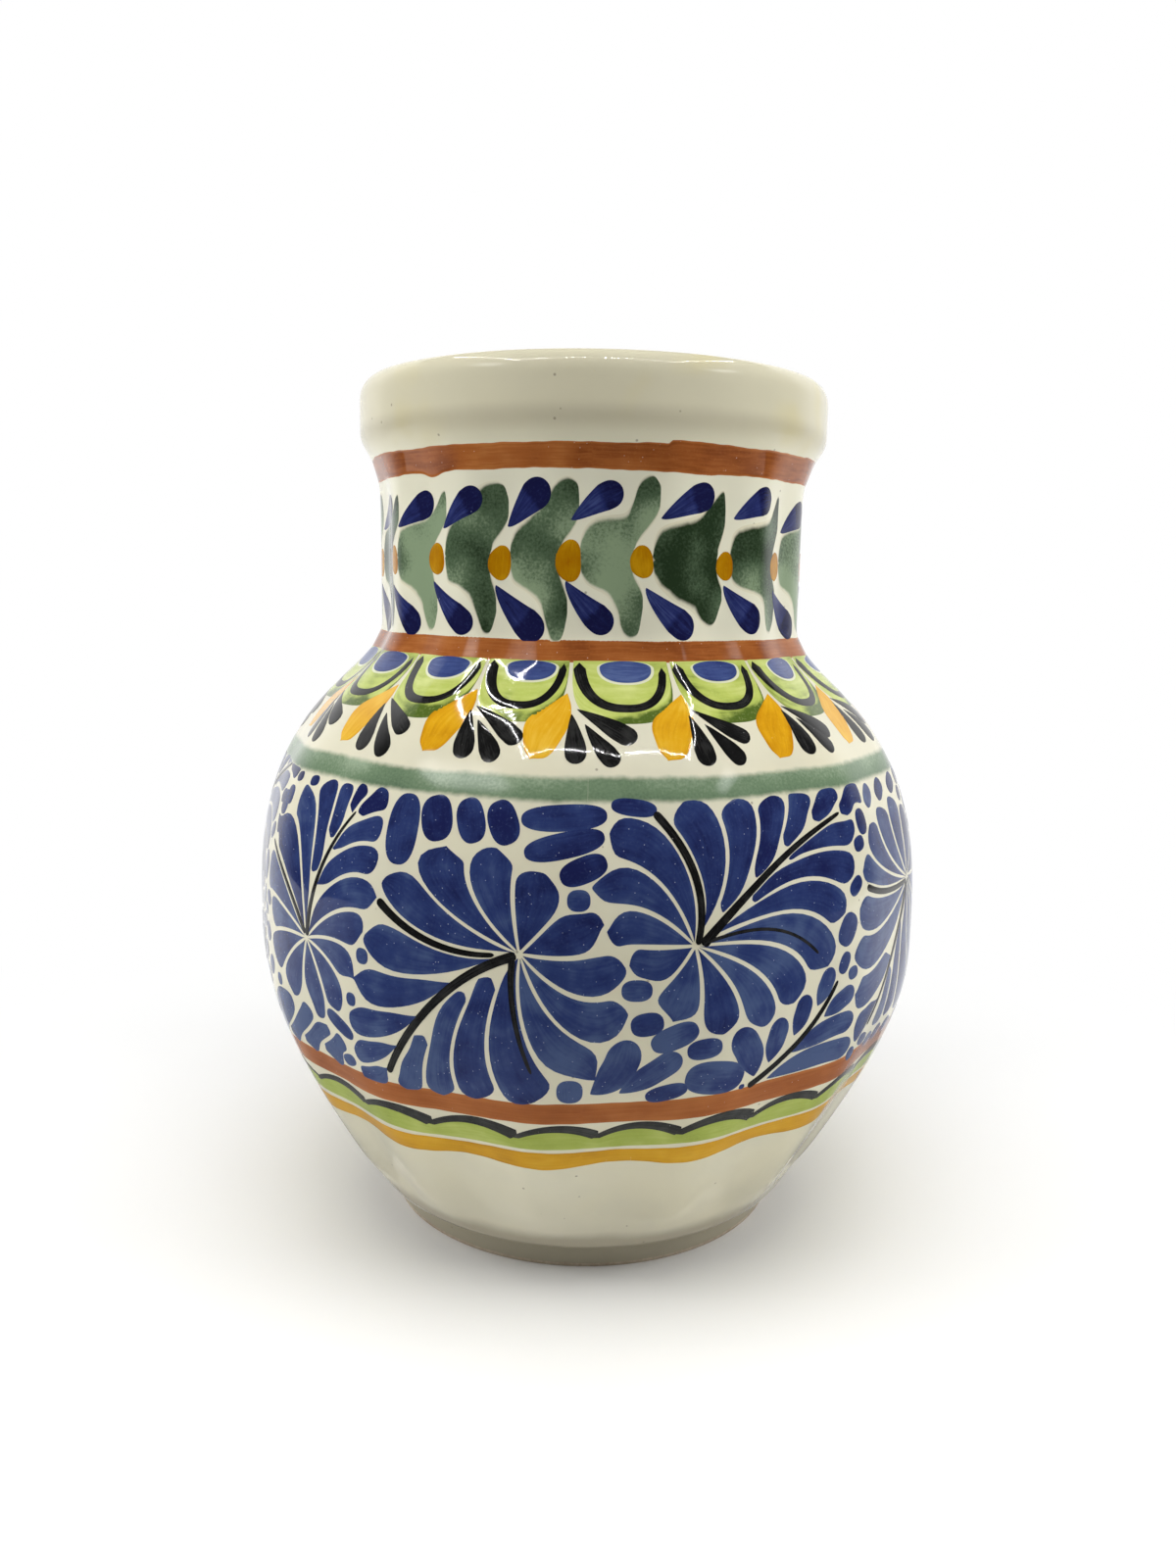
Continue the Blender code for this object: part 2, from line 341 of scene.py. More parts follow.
def creamGlaze():
    # cream with tints laid one over another: by zones down the outside, then stains, dots and pits
    # the paler neck is painted light; the line under the collar, the lower flank and the foot are painted
    # shade
    finish = Finish("creamGlaze")
    look = creamLook
    where = finish.place()
    run = finish.attribute("run")
    collar, neck, edge = (finish.zone(run, *look[key]) for key in ("collarZone", "neckLightZone", "collarEdgeShade"))
    stains = finish.patches(where, *look["stains"]) * collar
    # noise that wobbles the upper edge of the foot's painted shade
    footShadeWobble = finish.noise(where, look["footShadeScale"], 3.0) * look["footShadeReach"]
    dots, pits = (finish.specks(where, *look[key]) for key in ("dots", "pits"))
    # masks of painted light (neck) and painted shade (edge, flank and foot) among the real tints
    masks = dict(
        collar=collar, neck=neck, stains=stains, edge=edge, flank=finish.ease(run, *look["lowFlankShade"]),
        foot=finish.ease(run + footShadeWobble, *look["footShade"]), dots=dots, pits=pits)
    colour = creamColour(finish, where)
    for mask, cover, tint in look["tints"]:
        colour = finish.mix(masks[mask] * cover, colour, look[tint])
    finish.feed(finish.shader, {"Base Color": colour})
    glazeShine(finish, where, 1 - pits)
    return finish.material


clayLook = dict(
    pale=(0.560, 0.480, 0.370), dark=(0.400, 0.320, 0.230), darkFrom=(0.35, 0.65), grainScale=900.0,
    cloudScale=60.0, rough=0.65, roughSpread=0.2, bump=(0.5, 0.0004),
)


def bareClay():
    # fired clay, pale and dark by an even mix of fine grain and broad clouds
    finish = Finish("bareClay")
    where = finish.place()
    grain = finish.noise(where, clayLook["grainScale"], 4.0)
    clouds = finish.noise(where, clayLook["cloudScale"], 3.0)
    share = finish.ease(grain * 0.5 + clouds * 0.5, *clayLook["darkFrom"])
    finish.feed(finish.shader, {
        "Base Color": finish.mix(share, clayLook["pale"], clayLook["dark"]),
        "Roughness": grain * clayLook["roughSpread"] + clayLook["rough"],
        "Normal": finish.bump(grain, *clayLook["bump"])})
    return finish.material


# what all brushed colours share; a colour may set its own reach and edgeFrom
brush = dict(
    reach=2.2, bristles=3.5, shift=57.0, streakScale=1.6,  # streaks along, across and from stroke to stroke
    edgeFrom=0.60, headFrom=(0.52, 0.60), laps=(30.0, 1.0, (0.47, 0.54)), rightFrom=(0.45, 0.95),
    lowFrom=(0.30, 0.62), bodyFrom=(0.28, 0.55), deepFrom=(0.50, 0.80), grain=(1500.0, 2.0, (0.52, 0.80)),
    grainCover=0.25, pinScale=640.0, pinRadius=0.100, pinCover=0.75,
)
# what the soft washes share
wash = dict(
    level=0.32, grainScale=1500.0, grainShare=0.36, lowerFrom=(-0.6, 0.8), bodyFrom=(0.32, 0.60),
    deepFrom=(0.55, 0.85), raggedScale=420.0, ragged=0.5, edgeAt=0.97,
)


def brushPaint(name, paint):
    # brushed colour under the glaze: thin and deep tones by clouds, brush streaks and pooling at the
    # edge of a stroke, with pale pin dots
    look = {**brush, **paint}
    finish = Finish(name)
    where = finish.place()
    along, across, tone = (finish.attribute(key) for key in ("along", "across", "tone"))
    sweep = {0: along * look["reach"], 1: across * look["bristles"], 2: tone * look["shift"]}
    streak = finish.noise(finish.node("ShaderNodeCombineXYZ", None, sweep), look["streakScale"], 3.0)
    cloud = finish.noise(where, look["cloudScale"], 3.0)
    pool = finish.ease(across.size(), look["edgeFrom"], 1.0) * look["pool"]
    depth = streak * look["streak"] + cloud * (1 - look["streak"]) + (tone - 0.5) * look["spread"] + pool
    if "head" in look:  # second coat over the head of a drop
        depth = depth + finish.ease(along, *look["headFrom"]) * look["head"]
    if "lap" in look:  # second coat in broad patches
        depth = depth + finish.patches(where, *look["laps"]) * look["lap"]
    if "low" in look:  # colour that ran down to the lower right
        right = finish.ease(across, *look["rightFrom"])
        depth = depth + right * finish.ease(along, *look["lowFrom"]) * look["low"] * cloud
    colour = finish.mix(finish.ease(depth, *look["bodyFrom"]), look["thin"], look["body"])
    colour = finish.mix(finish.ease(depth, *look["deepFrom"]), colour, look["deep"])
    colour = finish.mix(finish.patches(where, *look["grain"]) * look["grainCover"], colour, look["thin"])
    dots = finish.specks(where, look["pinScale"], look["pinRadius"], look["dots"])
    finish.feed(finish.shader, {"Base Color": finish.mix(dots * look["pinCover"], colour, look["dot"])})
    glazeShine(finish, where, dots)
    return finish.material


def softPaint(name, paint):
    # thin wash that fades into the cream ground towards the borders of its stroke
    look = {**wash, **paint}
    finish = Finish(name)
    where = finish.place()
    along, across, tone = (finish.attribute(key) for key in ("along", "across", "tone"))
    cloud = finish.noise(where, look["cloudScale"], 1.0)
    grain = finish.noise(where, look["grainScale"])
    depth = cloud * look["cloudy"] + grain * look["grainShare"] + (tone - 0.5) * look["spread"]
    depth = depth + (look["level"] - 0.5 * look["cloudy"])
    depth = depth + finish.ease(across, *look["lowerFrom"]) * look["lower"]
    colour = finish.mix(finish.ease(depth, *look["bodyFrom"]), look["thin"], look["body"])
    colour = finish.mix(finish.ease(depth, *look["deepFrom"]), colour, look["deep"])
    ragged = (finish.noise(where, look["raggedScale"]) - 0.5) * look["ragged"]
    edge = across.size() + ragged * look["feather"]
    fade = 1 - finish.ease(edge, 1 - look["feather"], look["edgeAt"])
    ends = finish.zone(along, (0.0, look["endFeather"]), (1 - look["endFeather"], 1.0))
    colour = finish.mix(fade * ends, creamColour(finish, where), colour)
    finish.feed(finish.shader, {"Base Color": colour})
    glazeShine(finish, where, cloud)
    return finish.material


# Colours by name, each with the slot it belongs to; a soft wash has a feather
paints = dict(
    cobalt=dict(slot="cobalt_blue", thin=(0.066, 0.100, 0.218), body=(0.027, 0.045, 0.150),
                deep=(0.012, 0.016, 0.078), dot=(0.42, 0.48, 0.62), dots=0.78, streak=0.25,
                cloudScale=120.0, pool=-0.08, spread=0.44),
    eye=dict(slot="cobalt_blue", thin=(0.092, 0.135, 0.300), body=(0.050, 0.076, 0.226),
             deep=(0.026, 0.037, 0.138), dot=(0.42, 0.48, 0.62), dots=0.14, streak=0.5, cloudScale=150.0,
             pool=0.06, spread=0.20),
    navy=dict(slot="cobalt_blue", thin=(0.050, 0.070, 0.215), body=(0.019, 0.026, 0.115),
              deep=(0.009, 0.010, 0.052), dot=(0.35, 0.40, 0.55), dots=0.06, streak=0.6, cloudScale=200.0,
              pool=0.06, spread=0.16, head=0.26),
    black=dict(slot="stem_black", thin=(0.030, 0.030, 0.029), body=(0.009, 0.009, 0.009),
               deep=(0.005, 0.005, 0.005), dot=(0.30, 0.30, 0.28), dots=0.06, streak=0.5,
               cloudScale=260.0, pool=0.04, spread=0.16),
    archBlack=dict(slot="stem_black", thin=(0.062, 0.064, 0.060), body=(0.032, 0.033, 0.031),
                   deep=(0.018, 0.018, 0.018), dot=(0.36, 0.36, 0.33), dots=0.16, streak=0.5,
                   cloudScale=260.0, pool=0.04, spread=0.16),
    ochre=dict(slot="ochre_yellow", thin=(0.820, 0.500, 0.045), body=(0.730, 0.380, 0.012),
               deep=(0.560, 0.240, 0.005), dot=(0.85, 0.65, 0.30), dots=0.08, streak=0.4,
               cloudScale=110.0, pool=0.12, spread=0.20),
    amber=dict(slot="ochre_yellow", thin=(0.545, 0.280, 0.006), body=(0.430, 0.190, 0.002),
               deep=(0.340, 0.115, 0.002), dot=(0.80, 0.55, 0.20), dots=0.06, streak=0.4,
               cloudScale=170.0, pool=0.14, spread=0.20),
    lowOchre=dict(slot="ochre_yellow", thin=(0.720, 0.410, 0.030), body=(0.620, 0.320, 0.012),
                  deep=(0.430, 0.195, 0.008), dot=(0.80, 0.60, 0.30), dots=0.08, streak=0.3,
                  cloudScale=60.0, pool=0.08, spread=0.0, reach=40.0),
    lime=dict(slot="lime_green", thin=(0.650, 0.705, 0.250), body=(0.480, 0.560, 0.125),
              deep=(0.085, 0.135, 0.022), dot=(0.75, 0.80, 0.50), dots=0.10, streak=0.4, cloudScale=110.0,
              pool=0.0, spread=0.10, low=0.95),
    lowLime=dict(slot="lime_green", thin=(0.470, 0.540, 0.140), body=(0.360, 0.435, 0.085),
                 deep=(0.240, 0.300, 0.050), dot=(0.75, 0.80, 0.50), dots=0.06, streak=0.3,
                 cloudScale=90.0, pool=-0.08, spread=0.0, reach=40.0),
    halo=dict(slot="lime_green", thin=(0.740, 0.760, 0.560), body=(0.700, 0.720, 0.500),
              deep=(0.640, 0.670, 0.420), dot=(0.80, 0.80, 0.70), dots=0.0, streak=0.5, cloudScale=150.0,
              pool=0.0, spread=0.10),
    terracotta=dict(slot="terracotta_red", thin=(0.480, 0.175, 0.048), body=(0.360, 0.110, 0.027),
                    deep=(0.225, 0.060, 0.015), dot=(0.72, 0.56, 0.42), dots=0.45, streak=0.45,
                    cloudScale=90.0, pool=-0.26, spread=0.0, reach=30.0, edgeFrom=0.82, lap=0.15),
    lowTerracotta=dict(slot="terracotta_red", thin=(0.440, 0.150, 0.040), body=(0.335, 0.100, 0.025),
                       deep=(0.200, 0.052, 0.011), dot=(0.72, 0.56, 0.42), dots=0.30, streak=0.35,
                       cloudScale=60.0, pool=-0.14, spread=0.0, reach=30.0),
    sage=dict(slot="leaf_green", thin=(0.240, 0.320, 0.195), body=(0.078, 0.120, 0.068),
              deep=(0.018, 0.034, 0.015), cloudScale=62.0, cloudy=1.15, spread=0.58, lower=-0.06,
              feather=0.15, endFeather=0.03),
    sageBand=dict(slot="leaf_green", thin=(0.300, 0.385, 0.262), body=(0.162, 0.238, 0.143),
                  deep=(0.103, 0.162, 0.095), cloudScale=60.0, cloudy=0.6, spread=0.0, lower=0.16,
                  feather=0.50, endFeather=0.0001),
)


def paintFor(name, paint):  # the finish of a painted piece
    make = softPaint if "feather" in paints[paint] else brushPaint
    return make(name + "Paint", paints[paint])


def gridQuads(index):  # four-sided faces between the neighbours of a grid of point numbers
    return np.stack([index[:-1, :-1], index[:-1, 1:], index[1:, 1:], index[1:, :-1]], -1).reshape(-1, 4)


def numbered(*shape):  # a grid of numbers that count up row by row
    return np.arange(np.prod(shape)).reshape(shape)


def sheetSpots(parts, margin=0.002):  # spots of a bake map one after another, drawn in by a margin
    return np.concatenate([part.reshape(-1, 2) for part in parts]) * (1 - 2 * margin) + margin


def settle(name, points, faces, material, values, spots):
    # makes a mesh piece from whole arrays: points, faces, one list of values per attribute, bake map
    mesh = bpy.data.meshes.new(name)
    mesh.from_pydata(points.reshape(-1, 3).tolist(), [], faces)
    mesh.materials.append(material)
    for key, value in values.items():
        mesh.attributes.new(key, "FLOAT", "POINT").data.foreach_set("value", np.float32(value).ravel())
    bakeMap = mesh.uv_layers.new(name="OFBake")
    bakeMap.data.foreach_set("uv", np.float32(spots).ravel())
    mesh.shade_smooth()
    mesh.set_sharp_from_angle(angle=50 * deg)
    piece = bpy.data.objects.new(name, mesh)
    bpy.context.scene.collection.objects.link(piece)
    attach(piece, "root")
    print(name, "made with", len(mesh.polygons), "faces")
    return piece


def turnedPiece(name, path, columns, waved, runs, material):
    # closed turned solid: a path from the axis to the axis, carried round, with ribs where waved is 1
    phi = np.arange(columns) * fullTurn / columns
    inner = path[1:-1]
    radius = inner[:, :1] + (waved[1:-1] * ribDepth(inner[:, 1]))[:, None] * ribWave(phi)
    grid = turned(phi, radius, np.broadcast_to(inner[:, 1:], radius.shape)).reshape(-1, 3)
    poles = path[[0, -1]][:, [0, 0, 1]] * (0, 0, 1)
    ring = np.pad(numbered(*radius.shape), ((0, 0), (0, 1)), mode="wrap")
    low, high = np.full((2, columns), [[radius.size], [radius.size + 1]])
    bottom = np.stack([low, ring[0, 1:], ring[0, :-1]], -1)
    top = np.stack([high, ring[-1, :-1], ring[-1, 1:]], -1)
    # bake map: the path unrolled on a sheet, with a row of points at either pole
    share = runOf(path) / runOf(path)[-1]
    across, up = np.meshgrid(np.arange(columns + 1) / columns, share)
    across[[0, -1], :-1] += 0.5 / columns
    sheet = np.stack([across, up], -1)
    spots = sheetSpots([
        sheet[1:-1].reshape(-1, 2)[gridQuads(numbered(len(inner), columns + 1))],
        np.stack([sheet[0, :-1], sheet[1, 1:], sheet[1, :-1]], 1),
        np.stack([sheet[-1, :-1], sheet[-2, :-1], sheet[-2, 1:]], 1)])
    values = np.concatenate([np.repeat(runs[1:-1], columns), runs[[0, -1]]])
    faces = gridQuads(ring).tolist() + bottom.tolist() + top.tolist()
    return settle(name, np.concatenate([grid, poles]) * mm, faces, material, dict(run=values), spots)


def evenPath(path, step):  # the same path, with points an even step apart
    run = runOf(path)
    stops = np.linspace(0, run[-1], int(round(run[-1] / step)) + 1)
    return np.stack([np.interp(stops, run, path[:, axis]) for axis in (0, 1)], 1), stops


bodyGrid = dict(columns=336, outerStep=1.5, innerStep=3.2, hiddenLevel=8.2, skirt=0.7, skirtLift=0.2)


def glazedBody():
    # outside of the vase from the foot to the lip, then the inside down to the middle of the floor
    outside, outsideRun = evenPath(outer, bodyGrid["outerStep"])
    inside, insideRun = evenPath(innerPath(), bodyGrid["innerStep"])
    skirt = wall["footRadius"] - bodyGrid["skirt"]
    level = bodyGrid["hiddenLevel"]
    hidden = np.array([(0, level), (skirt, level), (skirt, wall["footEdge"] + bodyGrid["skirtLift"])])
    path = np.concatenate([hidden, outside[::-1], inside[1:], [(0, floorLevel)]])
    waved = np.concatenate([np.zeros(3), np.ones(len(outside)), np.zeros(len(inside))])
    outsideRun = outsideRun + outerRun[0]
    runs = np.concatenate([np.full(3, outsideRun[-1]), outsideRun[::-1], -insideRun[1:], -insideRun[-1:]])
    body = turnedPiece("glazed_body", path, bodyGrid["columns"], waved, runs, creamGlaze())
    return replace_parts(body, "lower_bowl", "upper_bowl", "neck", "rim_collar")


footGrid = dict(
    columns=168, gap=0.15, gapRise=0.25, cornerWide=2.5, cornerDeep=1.2, cornerPoints=6, sideIn=0.1,
    sideTop=0.06, recessPoints=12, facePoints=6,
)


def bareFoot():
    # unglazed underside: recess, foot face and its eased edges, closed inside the clay
    side, edge, recess = wall["footRadius"], wall["footEdge"], wall["footRecess"]
    bore = side - wall["footRingWidth"]
    rim = side - bodyGrid["skirt"] - footGrid["gap"]
    top = bodyGrid["hiddenLevel"] - footGrid["gap"]
    cornerAt, count = bore - footGrid["cornerWide"], footGrid["cornerPoints"]
    under = np.linspace((0, recess), (cornerAt, recess), footGrid["recessPoints"])[:-1]
    corner = easedCorner((cornerAt, recess), (bore, recess), (bore, recess - footGrid["cornerDeep"]), count)
    inEdge = easedCorner((bore, edge), (bore, 0), (bore + edge, 0), count)
    face = np.linspace((bore + edge, 0), (side - edge, 0), footGrid["facePoints"])[1:-1]
    outEdge = easedCorner(
        (side - edge, 0), (side - footGrid["sideIn"], 0), (side - footGrid["sideTop"], edge), count)
    inside = [(rim, edge + footGrid["gapRise"]), (rim, top), (0, top)]
    path = np.concatenate([under, corner, inEdge, face, outEdge, inside])
    still = np.zeros(len(path))
    foot = turnedPiece("bare_foot", path, footGrid["columns"], still, still, bareClay())
    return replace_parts(foot, "foot_ring")


def strokeFaces(steps, lanes, under):
    # faces of one closed stroke: a grid over the top, poles at both ends, a skirt and a grid underneath
    rows = steps - 1
    top = numbered(rows, lanes + 1)
    start, end = top.size, top.size + 1
    low = end + 1 + numbered(rows, under + 1)
    lowStart, lowEnd = low[-1, -1] + 1, low[-1, -1] + 2
    left, right = (np.concatenate([[start], top[:, edge], [end]]) for edge in (0, -1))
    lowLeft, lowRight = (np.concatenate([[lowStart], low[:, edge], [lowEnd]]) for edge in (0, -1))
    quads = [gridQuads(top), gridQuads(np.stack([left, lowLeft])),
             gridQuads(np.stack([right, lowRight])[:, ::-1]), gridQuads(low.T)]
    fans = [(start, top[0, 1:], top[0, :-1]), (end, top[-1, :-1], top[-1, 1:]),
            (lowStart, low[0, :-1], low[0, 1:]), (lowEnd, low[-1, 1:], low[-1, :-1])]
    tris = [np.stack([np.full(len(first), pole), first, second], -1) for pole, first, second in fans]
    return np.concatenate(quads), np.concatenate(tris), lowEnd + 1


hiddenDepth = 0.06  # millimetres that a stroke reaches into the glaze
thinnest = 0.05  # half width in millimetres where a stroke closes


def crowned(side, lift):  # lift[0] at both borders (side -1 and 1), lift[1] in the middle, by a fourth power
    return lift[0] + (lift[1] - lift[0]) * (1 - np.abs(side) ** 4)


def strokeRows(left, right, lanes, sides):
    # points of every row between its two border points, and how near each is to the left (-1) or
    # right (1) edge
    across = np.linspace(0, 1, lanes + 1)
    rows = left[:, 1:-1, None] * (1 - across[:, None]) + right[:, 1:-1, None] * across[:, None]
    first, last = (np.broadcast_to(side, left.shape[:2])[:, 1:-1, None] for side in sides)
    return rows, np.broadcast_to(first * (1 - across) + last * across, rows.shape[:3])


def paintedStrokes(name, borders, tone, lift, paint, lanes=6, under=1, sides=(-1.0, 1.0)):
    # closed thin strokes on the wall: rows run from the left to the right border, and stand proud of the
    # glaze by lift[0] at the border and by lift[1] along the middle
    left, right = borders
    count, steps = left.shape[0], left.shape[1] - 1
    share = np.linspace(0, 1, steps + 1)[1:-1, None]
    ends = left[:, [0, -1]]
    spots, lifts, along, across = [], [], [], []
    for width, hidden in ((lanes, False), (under, True)):
        rows, side = strokeRows(left, right, width, sides)
        rises = [crowned(side, lift).reshape(count, -1), np.full((count, 2), lift[0])]
        spots += [rows.reshape(count, -1, 2), ends]
        lifts += [0 * rise - hiddenDepth if hidden else rise for rise in rises]
        along += [np.broadcast_to(share, side.shape).reshape(count, -1), np.tile([0.0, 1.0], (count, 1))]
        across += [side.reshape(count, -1), np.zeros((count, 2))]
    spots, lifts, along, across = (np.concatenate(parts, 1) for parts in (spots, lifts, along, across))
    points = onWall(spots[..., 0], spots[..., 1], lifts)
    quads, tris, size = strokeFaces(steps, lanes, under)
    offset = np.arange(count)[:, None, None] * size
    quads, tris = (quads + offset).reshape(-1, 4), (tris + offset).reshape(-1, 3)
    values = dict(along=along, across=across, tone=np.repeat(tone[:, None], size, 1))
    shown, hidden = (unrolledMap(spots, rise).reshape(-1, 2) for rise in (0 * lifts, lifts))
    bakeSpots = np.concatenate([
        np.where((lifts.ravel()[part] < 0).all(1)[:, None, None], hidden[part], shown[part]).reshape(-1, 2)
        for part in (quads, tris)])  # a skirt stays at its border, only the underside goes to the strip
    faces = quads.tolist() + tris.tolist()
    return settle(name, points, faces, paintFor(name, paint), values, bakeSpots)


bake = dict(sheets=3, left=0.08, wide=0.84, low=0.02, high=0.93, hiddenLow=0.97, hiddenHigh=0.02)


def unrolledMap(spots, lift):
    # bake map: the unrolled wall cut into a few sheets laid one above the other, and the undersides in a
    # narrow strip
    turn, run = spots[..., 0] / fullTurn, spots[..., 1]
    middle = turn.mean(1, keepdims=True)
    sheet = np.floor((middle % 1.0) * bake["sheets"])
    across = (turn - np.floor(middle)) * bake["sheets"] - sheet
    low, high = run.min() - 1, run.max() + 1
    up = (sheet + (run - low) / (high - low)) / bake["sheets"]
    up = np.where(lift < 0, bake["hiddenLow"] + bake["hiddenHigh"] * up, bake["low"] + bake["high"] * up)
    return np.stack([bake["left"] + bake["wide"] * across, up], -1)


def spread(tight, count):
    # angles round the vase: those given at the front, and the rest evenly round the back
    gap = (tight[0] + 360 - tight[-1]) / (count - len(tight) + 1)
    rest = tight[-1] + gap * np.arange(1, count - len(tight) + 1)
    return np.concatenate([tight, rest])


def quadRoute(root, middle, tip, count):
    # curve through three points at t = 0, 1/2 and 1, with its points drawn together towards both ends
    t = ((1 - np.cos(np.pi * np.linspace(0, 1, count))) / 2)[:, None]
    root, middle, tip = (np.asarray(point, float)[:, None] for point in (root, middle, tip))
    pull = 2 * middle - (root + tip) / 2
    return (1 - t) ** 2 * root + 2 * t * (1 - t) * pull + t ** 2 * tip


def sideways(spine):  # unit vectors to the left of the way along a spine, seen from outside
    along = np.gradient(spine, axis=1)
    along /= np.linalg.norm(along, axis=2, keepdims=True)
    return np.stack([along[..., 1], -along[..., 0]], 2)


def runShare(spine):  # distance from the root along each spine, and its length
    steps = np.linalg.norm(np.diff(spine, axis=1), axis=2)
    along = np.concatenate([np.zeros((len(spine), 1)), np.cumsum(steps, 1)], 1)
    return along, along[:, -1:]


def evened(values, sweeps):  # each value averaged with its two neighbours, a few times over
    for sweep in range(sweeps):
        values[..., 1:-1] = (values[..., :-2] + 2 * values[..., 1:-1] + values[..., 2:]) / 4
    return values


def roundedEnd(left, radius, power=2):
    # quarter superellipse: 0 at the end of a stroke, 1 from one radius away
    return np.clip(1 - (1 - np.clip(left / radius, 0, 1)) ** power, 0, 1) ** (1 / power)


def lineHalves(spine, half, startRound, endRound, least=thinnest):
    # a given half width, closed by a quarter circle at both ends
    along, length = runShare(spine)
    return np.maximum(half * roundedEnd(along, startRound) * roundedEnd(length - along, endRound), least)


def dropHalves(spine, half, tail):
    # half width of a drop: a power of the way from the tail, full from two thirds on, closed by a round head
    along, length = runShare(spine)
    rise = np.minimum(1.5 * along / length, 1) ** tail
    return np.maximum(half * rise * roundedEnd(length - along, half * 1.05), thinnest)


def bordersOf(spine, halfLeft, halfRight):  # spine moved square to itself by its half widths
    side = sideways(spine)
    return spine + side * halfLeft[..., None], spine - side * halfRight[..., None]


def atPlaces(borders, phi):
    # local millimetres (across, run) to (angle, run): across is divided by the wall's radius there
    return [np.stack([phi[:, None] * deg + points[..., 0] / wallRadius(points[..., 1]), points[..., 1]], -1)
            for points in borders]


def joined(pairs):  # several sets of left and right borders as one
    return [np.concatenate(side) for side in zip(*pairs)]


# Black arches over the lime band
lowArches = dict(
    front=[-54.4, -39.6, -25.1, -10.2, 2.5, 15.5, 28.7, 42.2], count=26, cuspRun=212.7, slant=2.8, rise=3.3,
    thin=0.95, thick=2.0, thicken=1.1, swell=0.15, startRound=1.5, endRound=1.2, overlap=0.05, steps=25,
    least=0.04, seed=11,
)


def archRun(phi, share):  # parabola up from one cusp and down to the next, slanted by a sine
    rise = lowArches["rise"] * 4 * share * (1 - share)
    return lowArches["cuspRun"] - lowArches["slant"] * np.sin(phi) - rise


def archLine(phi):
    # runs of the arches right round, with a cusp at every place
    places = spread(lowArches["front"], lowArches["count"])
    ends = np.append(places, places[0] + 360)
    share = np.interp((phi / deg - places[0]) % 360 + places[0], ends, np.arange(len(ends)))
    return archRun(phi, share - np.floor(share))


def archStrokes():
    # each arch is one stroke, thin at its left foot and thick at its right
    look = lowArches
    places = spread(look["front"], look["count"])
    ends = np.append(places[1:], places[0] + 360)
    share = np.linspace(-look["overlap"], 1.0, look["steps"])
    phi = (places[:, None] + (ends - places)[:, None] * share) * deg
    run = archRun(phi, share)
    spine = np.stack([phi * wallRadius(run), run], -1)
    rng = np.random.default_rng(look["seed"])
    swell = rng.uniform(1 - look["swell"], 1 + look["swell"], (len(places), 1))
    half = (look["thin"] + (look["thick"] - look["thin"]) * np.clip(share, 0, 1) ** look["thicken"]) * swell
    half = lineHalves(spine, half, look["startRound"], look["endRound"], look["least"])
    borders = atPlaces(bordersOf(spine, half, half), np.zeros(len(places)))
    paintedStrokes("low_arches", borders, rng.uniform(0, 1, len(places)), (0.035, 0.06), "archBlack", lanes=4)


# Bands that run right round the vase
bands = dict(
    top_band=dict(upper=28.2, lower=34.9, wobble=0.30, slant=0.0, paint="terracotta",
                  lap=(17.0, 1.0), sag=(-42.0, 3.6, 1.4)),
    neck_band=dict(upper=77.6, lower=83.8, wobble=0.25, slant=0.0, paint="terracotta"),
    sage_band=dict(upper=117.6, lower=125.8, wobble=0.25, slant=0.0, paint="sageBand"),
    low_band=dict(upper=200.7, lower=207.8, wobble=0.30, slant=2.4, paint="lowTerracotta"),
    lime_band=dict(upper=211.2, lower=217.3, wobble=0.20, slant=2.8, paint="lowLime", arches=archLine),
    ochre_band=dict(upper=218.6, lower=224.3, wobble=0.30, slant=3.2, paint="lowOchre", ribWave=0.9),
)
bandGrid = dict(
    columns=1080, lanes=8, lift=(0.012, 0.024), seed=100, lowerSeed=50, lapSoft=0.5, lapFade=(50, 150),
    waves=[3, 5, 8, 13, 21, 34, 55, 89], waveFall=0.45, waveSize=0.8,
)


def wobbled(phi, size, seed):
    # sum of a few waves that close round the vase, shorter ones smaller
    rng = np.random.default_rng(seed)
    turns = np.array(bandGrid["waves"])
    phase = rng.uniform(0, fullTurn, len(turns))
    waves = np.sin(turns * phi[:, None] + phase) / turns ** bandGrid["waveFall"]
    return size * waves.sum(1) * bandGrid["waveSize"]


def bandBorders(phi, look, seed):
    # upper and lower runs of a band: wavy, and slanted by a sine
    slant = -look["slant"] * np.sin(phi)
    upper = look["upper"] + slant + wobbled(phi, look["wobble"], seed)
    lower = look["lower"] + slant + wobbled(phi, look["wobble"], seed + bandGrid["lowerSeed"])
    lower = lower + look.get("ribWave", 0) * ribWave(phi)
    angle = (phi / deg + 180) % 360 - 180
    if "lap" in look:  # the brush came back round and went on a little higher
        start, rise = look["lap"]
        lapped = smoothStep(angle, start - bandGrid["lapSoft"], start + bandGrid["lapSoft"])
        upper = upper - rise * lapped * (1 - smoothStep(angle, *bandGrid["lapFade"]))
    if "sag" in look:  # colour that gathered and sank
        middle, wide, drop = look["sag"]
        lower = lower + drop * np.exp(-((angle - middle) / wide) ** 2)
    if "arches" in look:
        upper = look["arches"](phi)
    return upper, lower


